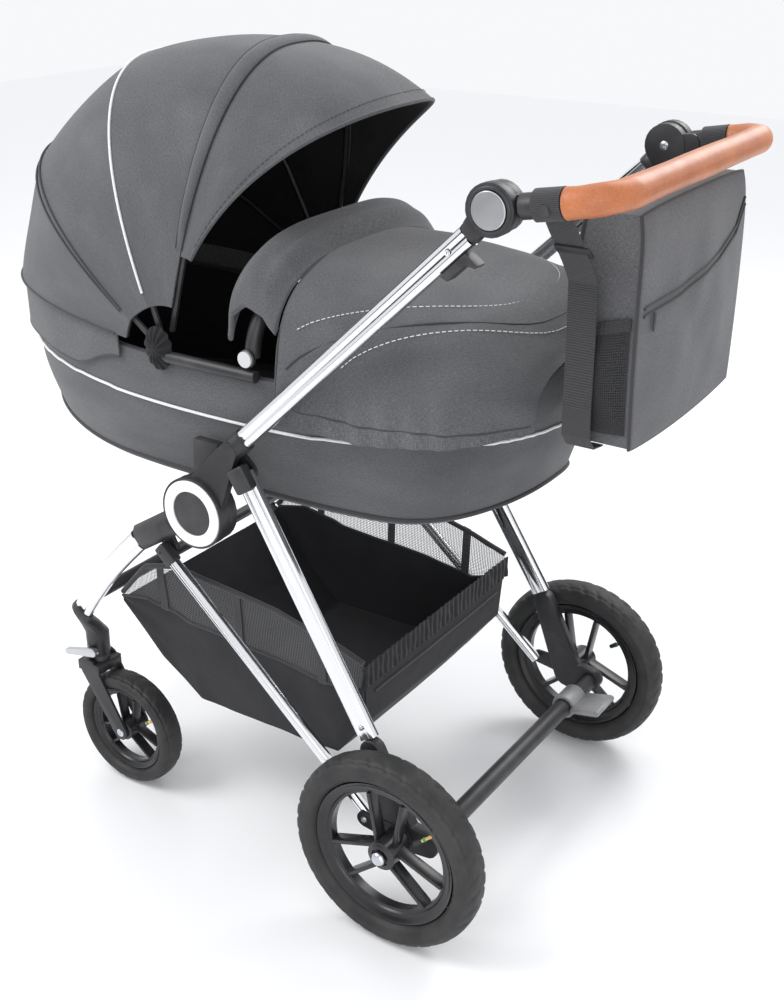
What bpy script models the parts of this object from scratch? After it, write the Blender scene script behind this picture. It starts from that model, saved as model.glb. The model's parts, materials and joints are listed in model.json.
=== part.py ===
"""Baby stroller: a pram chassis with swivelling front casters, a tilting handle and a folding
X-shaped frame, carrying a bassinet with a hood, an apron, a shopping basket and a changing bag.

Metres, +Z up. +X is the left of a person who pushes, +Y is the handle end and -Y the front. Places
are worked out from the rear axle (y = 0 on the ground below it) and moved as one by AXLE_Y, which
puts the origin under the middle of the whole object's box, on the ground.
"""

import math

import bmesh
import bpy
from mathutils import Matrix, Vector

# Origin
AXLE_Y = 0.28451

# Rear wheels
REAR_WHEEL_X = 0.291
REAR_WHEEL_R = 0.145
REAR_TYRE_W = 0.048
REAR_RIM_R = 0.109
BOLT_END_X = 0.321

# Casters
CASTER_X = 0.213
CASTER_WHEEL_R = 0.096
CASTER_TYRE_W = 0.041
CASTER_RIM_R = 0.0715
CASTER_AXLE = (-0.550, CASTER_WHEEL_R)
SWIVEL_Y = -0.607
FORK_CROWN_Z = (0.190, 0.206)
STEM_TOP_Z = 0.2145

# Frame, as (y, z) in the plane of each side
FRAME_X = 0.240
HUB = (-0.345, 0.545)
HUB_R = 0.052
SLEEVE_TOP = (-0.259, 0.669)
UPPER_TOP = (0.086, 0.995)
UPPER_TUBE = (0.026, 0.020)
HANDLE_PIVOT = (0.104, 1.016)
REAR_PIVOT = (-0.265, 0.618)
REAR_LEG_END = (-0.058, 0.280)
REAR_LEG = (0.030, 0.016)
STRUT_TOP = (-0.414, 0.464)
STRUT_END = (-0.060, 0.150)
STRUT_R = 0.0085
ARM_END = (-0.464, 0.470)
FRONT_LEG_END = (-0.600, 0.310)
FRONT_LEG = (0.033, 0.018)
CROSS_TUBE = (0.040, 0.145)
CROSS_TUBE_R = 0.014
GAP = 0.0004

# Handle: a U in a plane that rises at HANDLE_RISE from the two pivots
HANDLE_X = 0.2366
HANDLE_RISE = math.radians(10)
HANDLE_REACH = 0.138
HANDLE_CORNER_R = 0.050
GRIP_R = 0.0175
STUB_R = 0.0145

# Bassinet, as half widths and (y, z) stations
SEAT_HALF_W = 0.200
HEAD_Y = -0.815
FOOT_Y = 0.100
WALL = 0.006

# Canopy: each bow lies in a plane through the hinge line, turned up from +Y
CANOPY_HINGE = (-0.432, 0.754)
BOW_ANGLES = (math.radians(76), math.radians(111.5), math.radians(145))
SKIRT_ANGLE = math.radians(174)
BOW_HALF_WIDTHS = (0.194, 0.204, 0.214)
BOW_HEIGHTS = (0.400, 0.392, 0.396)
SKIRT_HEIGHT = 0.396
FABRIC = 0.004
BOW_TUBE_R = 0.0045
BOW_INSET = 0.0095

SIDES = (("left", 1), ("right", -1))


def place(x, y, z):
    """A point given from the rear axle, in the object's own frame."""
    return Vector((x, y + AXLE_Y, z))


def polar(angle, radius):
    """A point at a radius and angle about a centre."""
    return (radius * math.cos(angle), radius * math.sin(angle))


def make_material(name, colour, roughness, metallic=0.0):
    """A plain material of one colour."""
    made = bpy.data.materials.new(name)
    made.use_nodes = True
    shader = made.node_tree.nodes["Principled BSDF"]
    shader.inputs["Base Color"].default_value = (*colour, 1.0)
    shader.inputs["Roughness"].default_value = roughness
    shader.inputs["Metallic"].default_value = metallic
    return made


def make_axis(name, x, yz):
    """An empty on a joint's axis, which carries the pieces that move with it."""
    axis = bpy.data.objects.new(name, None)
    axis.location = place(x, *yz)
    bpy.context.scene.collection.objects.link(axis)
    return axis


def make_object(bm, name, material, axis):
    """Turns a bmesh in the object's frame into a named object, parented to the empty that carries it."""
    bmesh.ops.remove_doubles(bm, verts=bm.verts, dist=1e-6)
    bmesh.ops.recalc_face_normals(bm, faces=bm.faces)
    mesh = bpy.data.meshes.new(name)
    bm.to_mesh(mesh)
    bm.free()
    mesh.materials.append(material)
    mesh.shade_smooth()
    mesh.set_sharp_from_angle(angle=math.radians(35))
    made = bpy.data.objects.new(name, mesh)
    bpy.context.scene.collection.objects.link(made)
    if axis:
        mesh.transform(Matrix.Translation(-axis.location))
        made.parent = axis
    return made


def loft(bm, rings, closed=False):
    """Skins a list of rings of points, each with as many points, and caps the ends unless closed."""
    loops = [[bm.verts.new(point) for point in ring] for ring in rings]
    pairs = list(zip(loops, loops[1:]))
    if closed:
        pairs.append((loops[-1], loops[0]))
    for one, two in pairs:
        for i in range(len(one)):
            j = (i + 1) % len(one)
            bm.faces.new((one[i], one[j], two[j], two[i]))
    if not closed:
        bm.faces.new(loops[0][::-1])
        bm.faces.new(loops[-1])


def oval(centre, across, up, width, height, sides):
    """A ring of points on an oval, in the plane of two directions."""
    turns = [2 * math.pi * (i + 0.5) / sides for i in range(sides)]
    return [centre + across * math.cos(t) * width / 2 + up * math.sin(t) * height / 2 for t in turns]


def circle_across(centre, radius, sides):
    """A ring of points about centre, facing along X."""
    return oval(centre, Vector((0, 1, 0)), Vector((0, 0, 1)), 2 * radius, 2 * radius, sides)


def add_bar(bm, start, end, height, width, sides=10, across=Vector((1, 0, 0))):
    """A straight oval bar between two points. Its width is measured along across."""
    along = (end - start).normalized()
    across = (across - along * across.dot(along)).normalized()
    up = along.cross(across)
    loft(bm, [oval(p, across, up, width, height, sides) for p in (start, end)])


def add_sweep(bm, path, radius, sides=8, bore=0.0):
    """A round bar, or a tube with a bore, along a list of points."""
    rings, inner = [], []
    for i, point in enumerate(path):
        along = (path[min(i + 1, len(path) - 1)] - path[max(i - 1, 0)]).normalized()
        across = Vector((0, 0, 1)).cross(along)
        across = across.normalized() if across.length > 0.05 else Vector((1, 0, 0))
        up = along.cross(across).normalized()
        rings.append(oval(point, across, up, 2 * radius, 2 * radius, sides))
        inner.append(oval(point, across, up, 2 * bore, 2 * bore, sides))
    if bore:
        loft(bm, rings + inner[::-1], closed=True)
    else:
        loft(bm, rings)


def add_disc(bm, centre, radius, x_from, x_to, sides=24):
    """A cylinder along X, about (y, z)."""
    faces = []
    for x in (x_from, x_to):
        faces.append(circle_across(place(x, *centre), radius, sides))
    loft(bm, faces)


def add_plate(bm, outline, x_from, x_to):
    """A flat plate: an outline of (y, z) points, extruded along X."""
    loft(bm, [[place(x, y, z) for y, z in outline] for x in (x_from, x_to)])


def add_link(bm, start, end, start_r, end_r, x_from, x_to, sides=8):
    """A plate whose outline is two half rounds joined by straight edges, like a chain link."""
    along = math.atan2(end[1] - start[1], end[0] - start[0])
    outline = []
    for centre, radius, first in ((end, end_r, along - math.pi / 2), (start, start_r, along + math.pi / 2)):
        for i in range(sides + 1):
            y, z = polar(first + math.pi * i / sides, radius)
            outline.append((centre[0] + y, centre[1] + z))
    add_plate(bm, outline, x_from, x_to)


def add_revolve(bm, profile, centre, sides):
    """Turns a closed profile of (radius, x) points about the X axis through centre (y, z)."""
    rings = []
    for i in range(sides):
        angle = 2 * math.pi * i / sides
        ring = []
        for radius, x in profile:
            y, z = polar(angle, radius)
            ring.append(place(x, centre[0] + y, centre[1] + z))
        rings.append(ring)
    loft(bm, rings, closed=True)


def fuse(pieces, name, material, axis):
    """One solid from several overlapping shapes, each a function that fills a bmesh."""
    whole = None
    for i, fill in enumerate(pieces):
        bm = bmesh.new()
        fill(bm)
        made = make_object(bm, name if i == 0 else f"{name}_piece", material, None)
        if whole is None:
            whole = made
            continue
        boolean_with(whole, made, "UNION")
    if axis:
        whole.data.transform(Matrix.Translation(-axis.location))
        whole.parent = axis
    whole.data.shade_smooth()
    whole.data.set_sharp_from_angle(angle=math.radians(35))
    return whole


def boolean_with(whole, other, operation):
    """Joins another object to this one, or cuts it out of it, and removes the other."""
    step = whole.modifiers.new("step", "BOOLEAN")
    step.operation = operation
    step.object = other
    graph = bpy.context.evaluated_depsgraph_get()
    result = bpy.data.meshes.new_from_object(whole.evaluated_get(graph))
    whole.modifiers.remove(step)
    old = whole.data
    whole.data = result
    bpy.data.meshes.remove(old)
    bpy.data.objects.remove(other)


def between(start, end, share):
    """The point at a share of the way from start to end."""
    return tuple(a + (b - a) * share for a, b in zip(start, end))


def toward(start, end, distance):
    """The (y, z) point at a distance from start on the way to end."""
    return between(start, end, distance / math.dist(start, end))


# ---------------------------------------------------------------- chassis

def make_rear_frame(axis, materials):
    """The rear legs, their foot brackets, the axle bolts and the cross tube."""
    steel, black = materials["chrome"], materials["black_plastic"]
    for side, sign in SIDES:
        bm = bmesh.new()
        add_bar(bm, place(sign * FRAME_X, *REAR_PIVOT), place(sign * 0.250, *REAR_LEG_END), *REAR_LEG)
        make_object(bm, f"rear_leg_{side}", steel, axis)

        socket = toward(REAR_LEG_END, REAR_PIVOT, -0.0006)
        inner, outer = sign * 0.2425, sign * 0.2597
        fuse(
            [
                lambda bm: add_link(bm, socket_end(socket), (0.0, REAR_WHEEL_R), 0.016, 0.024, inner, outer),
                lambda bm: add_link(bm, (0.0, REAR_WHEEL_R), CROSS_TUBE, 0.022, 0.018, inner, outer),
                lambda bm: add_link(
                    bm, (0.0, REAR_WHEEL_R), STRUT_END, 0.016, 0.012, sign * 0.2585, sign * 0.2622
                ),
            ],
            f"rear_bracket_{side}", black, axis,
        )

        bm = bmesh.new()
        shank, head = 0.0060, 0.0105
        profile = [(0.0, 0.2626), (shank, 0.2626), (shank, 0.3130), (head, 0.3130)]
        profile += [(head, 0.3180), (0.0075, BOLT_END_X), (0.0, BOLT_END_X)]
        add_turned(bm, profile, sign, (0.0, REAR_WHEEL_R), 12)
        make_object(bm, f"rear_axle_{side}", steel, axis)
    bm = bmesh.new()
    add_disc(bm, CROSS_TUBE, CROSS_TUBE_R, -0.2420, 0.2420, 14)
    make_object(bm, "rear_cross_tube", black, axis)


def socket_end(socket):
    """The leg's bracket starts a little below the leg, clear of the round end of its link."""
    return toward(socket, (0.0, REAR_WHEEL_R), 0.0165)


def add_turned(bm, profile, sign, centre, sides):
    """Turns an open profile of (radius, x) points, which starts and ends on the axis, about X."""
    rings = []
    for radius, x in profile:
        if radius:
            rings.append(circle_across(place(sign * x, *centre), radius, sides))
    loft(bm, rings)


def make_wheel(name, axis, materials, centre, x, radius, width, rim_r, bore, hub_r, hub_from, hub_to):
    """A tyre and a rim with six blade spokes in three V-shaped pairs, about (y, z)."""
    half = width / 2
    depth = radius - rim_r
    profile = [
        (rim_r + GAP, x - 0.55 * half),
        (rim_r + 0.35 * depth, x - half),
        (rim_r + 0.72 * depth, x - 0.92 * half),
        (radius, x - 0.42 * half),
        (radius, x + 0.42 * half),
        (rim_r + 0.72 * depth, x + 0.92 * half),
        (rim_r + 0.35 * depth, x + half),
        (rim_r + GAP, x + 0.55 * half),
    ]
    bm = bmesh.new()
    add_revolve(bm, profile, centre, 32)
    make_object(bm, f"{name}_tyre", materials["rubber"], axis)

    band = 0.13 * radius
    ring = [
        (rim_r - band, x - 0.30 * half),
        (rim_r, x - 0.62 * half),
        (rim_r, x + 0.62 * half),
        (rim_r - band, x + 0.30 * half),
    ]
    hub = [(bore, hub_from), (hub_r, hub_from), (hub_r, hub_to), (bore, hub_to)]
    pieces = [
        lambda bm: add_revolve(bm, hub, centre, 16),
        lambda bm: add_revolve(bm, ring, centre, 32),
    ]
    for pair in range(3):
        for lean in (-1, 1):
            angle = math.radians(90 + 120 * pair)
            spread = lean * math.radians(17)
            pieces.append(
                lambda bm, a=angle, s=spread, r=lean: add_spoke(
                    bm, centre, x, a, s, r, hub_r, rim_r - band / 2, width
                )
            )
    fuse(pieces, f"{name}_rim", materials["black_plastic"], axis)


def add_spoke(bm, centre, x, angle, spread, lean, hub_r, outer_r, width):
    """One blade, from the side of the hub to the rim band."""
    foot = polar(angle + lean * 1.0, hub_r * 0.72)
    tip = polar(angle + spread, outer_r)
    start = place(x, centre[0] + foot[0], centre[1] + foot[1])
    end = place(x, centre[0] + tip[0], centre[1] + tip[1])
    add_bar(bm, start, end, 0.0075 * width / 0.048, 0.42 * width, 6)


def make_rear_wheels(axes, materials):
    """Both rear wheels."""
    for side, sign in SIDES:
        make_wheel(
            f"rear_wheel_{side}", axes[f"rear_wheel_{side}"], materials, (0.0, REAR_WHEEL_R),
            sign * REAR_WHEEL_X, REAR_WHEEL_R, REAR_TYRE_W, REAR_RIM_R, 0.0072, 0.021,
            sign * 0.2665, sign * 0.3125,
        )


def make_brake_pedal(axis, materials):
    """A foot pedal clamped round the rear cross tube near its right end."""
    inner = CROSS_TUBE_R + 0.0006
    collar = [(inner, -0.192), (inner + 0.005, -0.192), (inner + 0.005, -0.150), (inner, -0.150)]
    toe = (CROSS_TUBE[0] + 0.060, CROSS_TUBE[1] + 0.012)
    heel = (CROSS_TUBE[0] + 0.0195, CROSS_TUBE[1] + 0.003)
    fuse(
        [
            lambda bm: add_revolve(bm, collar, CROSS_TUBE, 14),
            lambda bm: add_link(bm, heel, toe, 0.004, 0.005, -0.200, -0.142, 4),
        ],
        "brake_pedal", materials["grey_plastic"], axis,
    )


def make_strut(side, sign, axis, materials):
    """One strut between the front arm and the rear bracket."""
    start = place(sign * 0.2490, *STRUT_END)
    end = place(sign * 0.2460, *STRUT_TOP)
    bm = bmesh.new()
    add_bar(bm, start, end, 2 * STRUT_R, 2 * STRUT_R, 12)
    make_object(bm, f"strut_{side}", materials["chrome"], axis)


def make_upper_frame(axis, materials):
    """The hub sleeves, upper tubes, hub rings and handle housings."""
    black = materials["black_plastic"]
    run = Vector((0, UPPER_TOP[0] - SLEEVE_TOP[0], UPPER_TOP[1] - SLEEVE_TOP[1])).normalized()
    back = (run.y, run.z)
    tube_end = (HANDLE_PIVOT[0] - 0.045 * back[0], HANDLE_PIVOT[1] - 0.045 * back[1])
    reach = line_reach(back, tube_end)
    on_line = (SLEEVE_TOP[0] + back[0] * reach, SLEEVE_TOP[1] + back[1] * reach)
    for side, sign in SIDES:
        bm = bmesh.new()
        tube_foot = toward(SLEEVE_TOP, on_line, GAP)
        add_bar(bm, place(sign * FRAME_X, *tube_foot), place(sign * FRAME_X, *on_line), *UPPER_TUBE, 12)
        make_object(bm, f"upper_tube_{side}", materials["chrome"], axis)

        inner, outer = sign * 0.2403, sign * 0.2580
        low = toward(SLEEVE_TOP, on_line, -0.078)
        fuse(
            [
                lambda bm: add_disc(bm, HUB, HUB_R, inner, outer, 28),
                lambda bm: add_link(
                    bm, HUB, toward(SLEEVE_TOP, on_line, -0.030), 0.040, 0.014, inner, sign * 0.2535
                ),
                lambda bm: add_bar(
                    bm, place(sign * FRAME_X, *low), place(sign * FRAME_X, *SLEEVE_TOP), 0.032, 0.027, 12
                ),
                lambda bm: add_link(
                    bm,
                    REAR_PIVOT,
                    toward(SLEEVE_TOP, on_line, -0.040),
                    0.014,
                    0.012,
                    sign * 0.2270,
                    sign * 0.2316,
                ),
            ],
            f"hub_sleeve_{side}", black, axis,
        )

        bm = bmesh.new()
        ring = [
            (0.033, sign * 0.2584),
            (HUB_R - 0.003, sign * 0.2584),
            (HUB_R - 0.004, sign * 0.2620),
            (0.034, sign * 0.2620),
        ]
        add_revolve(bm, ring, HUB, 28)
        make_object(bm, f"hub_ring_{side}", materials["white_plastic"], axis)

        housing = fuse(
            [
                lambda bm: add_disc(bm, HANDLE_PIVOT, 0.030, sign * 0.2375, sign * 0.2515, 24),
                lambda bm: add_link(
                    bm,
                    HANDLE_PIVOT,
                    toward(on_line, HANDLE_PIVOT, 0.0160),
                    0.016,
                    0.013,
                    sign * 0.2375,
                    sign * 0.2515,
                ),
                lambda bm: add_bar(
                    bm,
                    place(sign * FRAME_X, *toward(on_line, HANDLE_PIVOT, 0.0016)),
                    place(sign * FRAME_X, *toward(on_line, HANDLE_PIVOT, 0.013)),
                    0.028,
                    0.023,
                    12,
                ),
            ],
            f"pivot_housing_{side}", black, None,
        )
        recess = bmesh.new()
        add_disc(recess, HANDLE_PIVOT, 0.0222, sign * 0.2462, sign * 0.2600, 24)
        boolean_with(housing, make_object(recess, "recess", black, None), "DIFFERENCE")
        housing.data.transform(Matrix.Translation(-axis.location))
        housing.parent = axis


def line_reach(direction, point):
    """How far along the upper tube's line, from the sleeve, the foot of a point lies."""
    return (point[0] - SLEEVE_TOP[0]) * direction[0] + (point[1] - SLEEVE_TOP[1]) * direction[1]


def make_handle_button(side, sign, axis, materials):
    """The round silver button at a handle pivot."""
    bm = bmesh.new()
    add_disc(bm, HANDLE_PIVOT, 0.0214, sign * 0.2500, sign * 0.2552, 24)
    make_object(bm, f"handle_button_{side}", materials["silver_plastic"], axis)


def make_fold_trigger(side, sign, axis, materials):
    """A finger slide with a hooked lip, under the upper tube."""
    run = Vector((0, UPPER_TOP[0] - SLEEVE_TOP[0], UPPER_TOP[1] - SLEEVE_TOP[1])).normalized()
    down = Vector((0, run.z, -run.y))
    middle = place(sign * FRAME_X, 0.0495, 0.9605)
    outline = [
        (-0.024, 0.0140),
        (0.020, 0.0140),
        (0.024, 0.0340),
        (0.019, 0.0340),
        (0.012, 0.0240),
        (-0.020, 0.0240),
    ]
    half = Vector((0.0095, 0, 0))
    bm = bmesh.new()
    rings = []
    for shift in (-half, half):
        rings.append([middle + run * along + down * depth + shift for along, depth in outline])
    loft(bm, rings)
    make_object(bm, f"fold_trigger_{side}", materials["black_plastic"], axis)


def handle_path(start, points):
    """Points of the handle's U from the left pivot round to the right, starting at a reach from it."""
    rise = Vector((0, math.cos(HANDLE_RISE), math.sin(HANDLE_RISE)))
    pivot = place(0, *HANDLE_PIVOT)
    corner = HANDLE_REACH - HANDLE_CORNER_R
    half = [pivot + rise * start + Vector((HANDLE_X, 0, 0))]
    for i in range(points + 1):
        turn = math.pi / 2 * i / points
        x = HANDLE_X - HANDLE_CORNER_R * (1 - math.cos(turn))
        half.append(pivot + rise * (corner + HANDLE_CORNER_R * math.sin(turn)) + Vector((x, 0, 0)))
    return half + [Vector((-p.x, p.y, p.z)) for p in half[::-1]]


def make_handle(axis, materials):
    """The U-shaped handle bar and its grip."""
    rise = (math.cos(HANDLE_RISE), math.sin(HANDLE_RISE))
    pieces = [lambda bm: add_sweep(bm, handle_path(0.070, 5), 0.0095)]
    for _, sign in SIDES:
        near = (HANDLE_PIVOT[0] + 0.0335 * rise[0], HANDLE_PIVOT[1] + 0.0335 * rise[1])
        far = (HANDLE_PIVOT[0] + 0.0860 * rise[0], HANDLE_PIVOT[1] + 0.0860 * rise[1])
        pieces.append(lambda bm, s=sign: add_disc(bm, HANDLE_PIVOT, 0.0285, s * 0.2200, s * 0.2370, 24))
        pieces.append(
            lambda bm, s=sign, e=between(near, far, 0.06): add_link(
                bm, HANDLE_PIVOT, e, 0.013, 0.012, s * 0.2212, s * 0.2367
            )
        )
        pieces.append(
            lambda bm, s=sign, n=near, f=far: add_bar(
                bm, place(s * HANDLE_X, *n), place(s * HANDLE_X, *f), 2 * STUB_R, 2 * STUB_R, 12
            )
        )
    fuse(pieces, "handle_bar", materials["black_plastic"], axis)

    bm = bmesh.new()
    add_sweep(bm, handle_path(HANDLE_REACH - HANDLE_CORNER_R - 0.0015, 6), GRIP_R, 12, bore=0.0110)
    make_object(bm, "handle_grip", materials["tan_leather"], axis)


def make_front_frame(axis, materials):
    """The front arms, front legs, caster housings and cross tube."""
    black = materials["black_plastic"]
    for side, sign in SIDES:
        clear = toward(HUB, ARM_END, 0.062)
        arm_drop = between(clear, ARM_END, 0.5)
        fuse(
            [
                lambda bm: add_disc(bm, HUB, HUB_R - 0.001, sign * 0.2235, sign * 0.2397, 28),
                lambda bm: add_link(bm, HUB, clear, 0.030, 0.020, sign * 0.2265, sign * 0.2397),
                lambda bm: add_bar(
                    bm, place(sign * FRAME_X, *clear), place(sign * FRAME_X, *ARM_END), 0.040, 0.027, 12
                ),
                lambda bm: add_link(bm, arm_drop, STRUT_TOP, 0.014, 0.012, sign * 0.2275, sign * 0.2340),
                lambda bm: add_plate(
                    bm,
                    [(-0.372, 0.530), (-0.318, 0.530), (-0.324, 0.640), (-0.366, 0.640)],
                    sign * 0.2110,
                    sign * 0.2240,
                ),
            ],
            f"front_arm_{side}", black, axis,
        )
        make_front_leg(side, sign, axis, materials)
        make_caster_housing(side, sign, axis, materials)
    bm = bmesh.new()
    add_disc(bm, (-0.588, 0.330), 0.010, -0.2255, 0.2255, 12)
    make_object(bm, "front_cross_tube", black, axis)


def make_front_leg(side, sign, axis, materials):
    """A flat oval leg with a slight forward bow."""
    start, end = toward(ARM_END, FRONT_LEG_END, 0.0080), toward(FRONT_LEG_END, ARM_END, GAP)
    along = Vector((0, end[0] - start[0], end[1] - start[1])).normalized()
    up = Vector((0, -along.z, along.y))
    rings = []
    for i in range(6):
        share = i / 5
        bow = up * -0.006 * math.sin(math.pi * share)
        middle = place(sign * FRAME_X, *between(start, end, share)) + bow
        rings.append(oval(middle, Vector((1, 0, 0)), up, FRONT_LEG[1], FRONT_LEG[0], 12))
    bm = bmesh.new()
    loft(bm, rings)
    make_object(bm, f"front_leg_{side}", materials["chrome"], axis)


def make_caster_housing(side, sign, axis, materials):
    """An elbow from the end of the leg, in to the swivel bearing above the fork."""
    start = place(sign * FRAME_X, *FRONT_LEG_END)
    leg = Vector((0, FRONT_LEG_END[0] - ARM_END[0], FRONT_LEG_END[1] - ARM_END[1])).normalized()
    low = place(sign * CASTER_X, SWIVEL_Y, STEM_TOP_Z + GAP)
    x_way, y_way = Vector((1, 0, 0)), Vector((0, 1, 0))
    square_on = Vector((0, -leg.z, leg.y))
    half_way = (square_on + y_way).normalized()
    rings = [
        oval(start + leg * 0.0008, x_way, square_on, 0.023, 0.038, 12),
        oval(start + leg * 0.014, x_way, square_on, 0.025, 0.040, 12),
        oval(low + Vector((sign * 0.013, 0, 0.062)), x_way, half_way, 0.031, 0.038, 12),
        oval(low + Vector((0, 0, 0.040)), x_way, y_way, 0.036, 0.038, 12),
        oval(low, x_way, y_way, 0.036, 0.036, 12),
    ]
    bm = bmesh.new()
    loft(bm, rings)
    make_object(bm, f"caster_housing_{side}", materials["black_plastic"], axis)


def make_caster(side, sign, axes, materials):
    """The swivelling fork with its axle pin, and the wheel that turns on it."""
    x = sign * CASTER_X
    gap, plate = CASTER_TYRE_W / 2 + 0.0010, 0.0042
    pieces = []
    for lean in (-1, 1):
        inside, outside = x + lean * gap, x + lean * (gap + plate)
        pieces.append(
            lambda bm, a=inside, b=outside: add_link(bm, (-0.609, 0.196), CASTER_AXLE, 0.017, 0.013, a, b)
        )
    reach = gap + plate
    low, high = FORK_CROWN_Z
    pieces.append(lambda bm: add_box(bm, (x - reach, -0.630, low), (x + reach, -0.586, high)))
    pieces.append(lambda bm: add_post(bm, (x, SWIVEL_Y), 0.0165, FORK_CROWN_Z[1] - 0.003, STEM_TOP_Z))
    pieces.append(lambda bm: add_disc(bm, CASTER_AXLE, 0.0050, x - reach - 0.0005, x + reach + 0.0005, 12))
    fuse(pieces, f"caster_fork_{side}", materials["black_plastic"], axes[f"caster_{side}"])
    make_wheel(
        f"front_wheel_{side}", axes[f"front_wheel_{side}"], materials, CASTER_AXLE, x,
        CASTER_WHEEL_R, CASTER_TYRE_W, CASTER_RIM_R, 0.0058, 0.0165, x - sign * 0.0195, x + sign * 0.0195,
    )


def add_box(bm, low, high):
    """Adds a box between two corners."""
    low, high = place(*low), place(*high)
    corners = [(low.x, low.y), (high.x, low.y), (high.x, high.y), (low.x, high.y)]
    loft(bm, [[Vector((x, y, z)) for x, y in corners] for z in (low.z, high.z)])


def add_post(bm, centre, radius, z_from, z_to, sides=16):
    """Adds a round upright post of stepped radius."""
    rings = []
    x_way, y_way = Vector((1, 0, 0)), Vector((0, 1, 0))
    for z in (z_from, z_to):
        rings.append(oval(place(*centre, z), x_way, y_way, 2 * radius, 2 * radius, sides))
    loft(bm, rings)


def make_caster_lock(side, sign, axis, materials):
    """The small lever that stops a caster from swivelling."""
    bm = bmesh.new()
    x_from, x_to = sign * 0.2325, sign * 0.2405
    add_link(bm, (-0.595, 0.2290), (-0.651, 0.2150), 0.0070, 0.0050, x_from, x_to, 6)
    make_object(bm, f"caster_lock_{side}", materials["silver_plastic"], axis)


# ---------------------------------------------------------------- seat

def plan(share, half_w, head, foot):
    """A point (x, y) of the bassinet's rounded plan. share runs from 0 to 1 round the outline."""
    turn = 2 * math.pi * share
    squareness = 2.7
    across, along = math.cos(turn), math.sin(turn)
    x = half_w * math.copysign(abs(across) ** (2 / squareness), across)
    y = (foot - head) / 2 * math.copysign(abs(along) ** (2 / squareness), along)
    return x, (head + foot) / 2 + y


def rim_height(y):
    """The top edge of the bassinet's side, which dips in the middle and rises to both ends."""
    share = (y - HEAD_Y) / (FOOT_Y - HEAD_Y)
    return 0.735 + 0.035 * (2 * share - 1) ** 2


def floor_height(y):
    """The underside of the bassinet, level in the middle and turned up at the head and the foot."""
    head, foot = max(0.0, (-0.55 - y) / 0.27), max(0.0, (y + 0.10) / 0.20)
    return 0.560 + 0.055 * head ** 2 + 0.060 * foot ** 2


def make_bassinet(axis, materials):
    """An open tub with a thin wall, in a rounded plan."""
    count = 36
    rings = []
    levels = (0.0, 0.30, 1.0)
    for level in levels:
        shrink = 0.030 * (1 - level) ** 2
        rings.append(tub_ring(count, shrink, level, 0.0))
    for level in levels[::-1]:
        shrink = 0.030 * (1 - level) ** 2 + WALL
        rings.append(tub_ring(count, shrink, level, WALL if level < 1 else 0.0))
    rings = floor_rings(count, 0.0)[::-1] + rings + floor_rings(count, WALL)
    pieces = [lambda bm: loft(bm, rings)]
    for _, sign in SIDES:
        rail = [(-0.446, 0.715), (-0.255, 0.715), (-0.255, 0.760), (-0.446, 0.760)]
        pieces.append(lambda bm, s=sign: add_plate(bm, rail, s * 0.1960, s * 0.2085))
    fuse(pieces, "bassinet", materials["grey_fabric"], axis)


def floor_rings(count, lift):
    """Two rings inside the edge of the floor, which keep it level in the middle."""
    made = [tub_ring(count, 0.110, 0.0, lift)]
    made.append([place(*plan(i / count, 0.08, -0.56, -0.10), 0.560 + lift) for i in range(count)])
    return made


def tub_ring(count, shrink, level, lift):
    """A ring of the tub's side at a level, 0 at the floor and 1 at the rim."""
    ring = []
    for i in range(count):
        x, y = plan(i / count, SEAT_HALF_W - shrink, HEAD_Y + shrink, FOOT_Y - shrink)
        low, high = floor_height(y) + lift, rim_height(y)
        ring.append(place(x, y, low + (high - low) * level))
    return ring


def make_mattress(axis, materials):
    """The mattress that lies on the tub floor."""
    rings = []
    for z, shrink in ((0.5880, 0.050), (0.5920, 0.042), (0.6160, 0.042), (0.6200, 0.050)):
        half_w, head, foot = SEAT_HALF_W - shrink, HEAD_Y + 0.10 + shrink, FOOT_Y - 0.10 - shrink
        rings.append([place(*plan(i / 24, half_w, head, foot), z) for i in range(24)])
    bm = bmesh.new()
    loft(bm, rings)
    make_object(bm, "mattress", materials["lining_fabric"], axis)


def apron_top(y):
    """Height of the apron along the middle, from the bumper bar to the foot."""
    share = max(0.0, min(1.0, (y + 0.235) / 0.345))
    return 0.893 - 0.020 * share - 0.050 * share ** 3


def apron_section(y, offset):
    """Closed arch over the bassinet at one station: over the top from hem to hem, and straight back."""
    foot = max(0.0, (y - 0.020) / 0.098)
    half = (SEAT_HALF_W + 0.018) * (1 - 0.33 * foot ** 2.2) - offset
    top = apron_top(y) - 0.025 * foot ** 2 - offset
    hem = 0.680 + 0.30 * max(0.0, y + 0.10) ** 1.3 - (0.05 if offset else 0.0)
    points = []
    for i in range(15):
        turn = math.pi * i / 14
        x = half * math.copysign(abs(math.cos(turn)) ** 0.62, math.cos(turn))
        points.append(place(x, y, hem + (top - hem) * math.sin(turn) ** 0.62))
    return points


def make_apron(axis, materials):
    """The padded cover over the foot half of the bassinet: a shell that is open below and behind."""
    thick = 0.012
    outer, inner = bmesh.new(), bmesh.new()
    loft(outer, [apron_section(y, 0.0) for y in (-0.222, -0.160, -0.080, 0.0, 0.050, 0.085, 0.106, 0.118)])
    loft(inner, [apron_section(y, thick) for y in (-0.250, -0.160, -0.080, 0.0, 0.050, 0.085, 0.104)])
    shell = make_object(outer, "apron", materials["grey_fabric"], None)
    boolean_with(shell, make_object(inner, "apron_inside", materials["grey_fabric"], None), "DIFFERENCE")
    shell.data.transform(Matrix.Translation(-axis.location))
    shell.parent = axis


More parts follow.
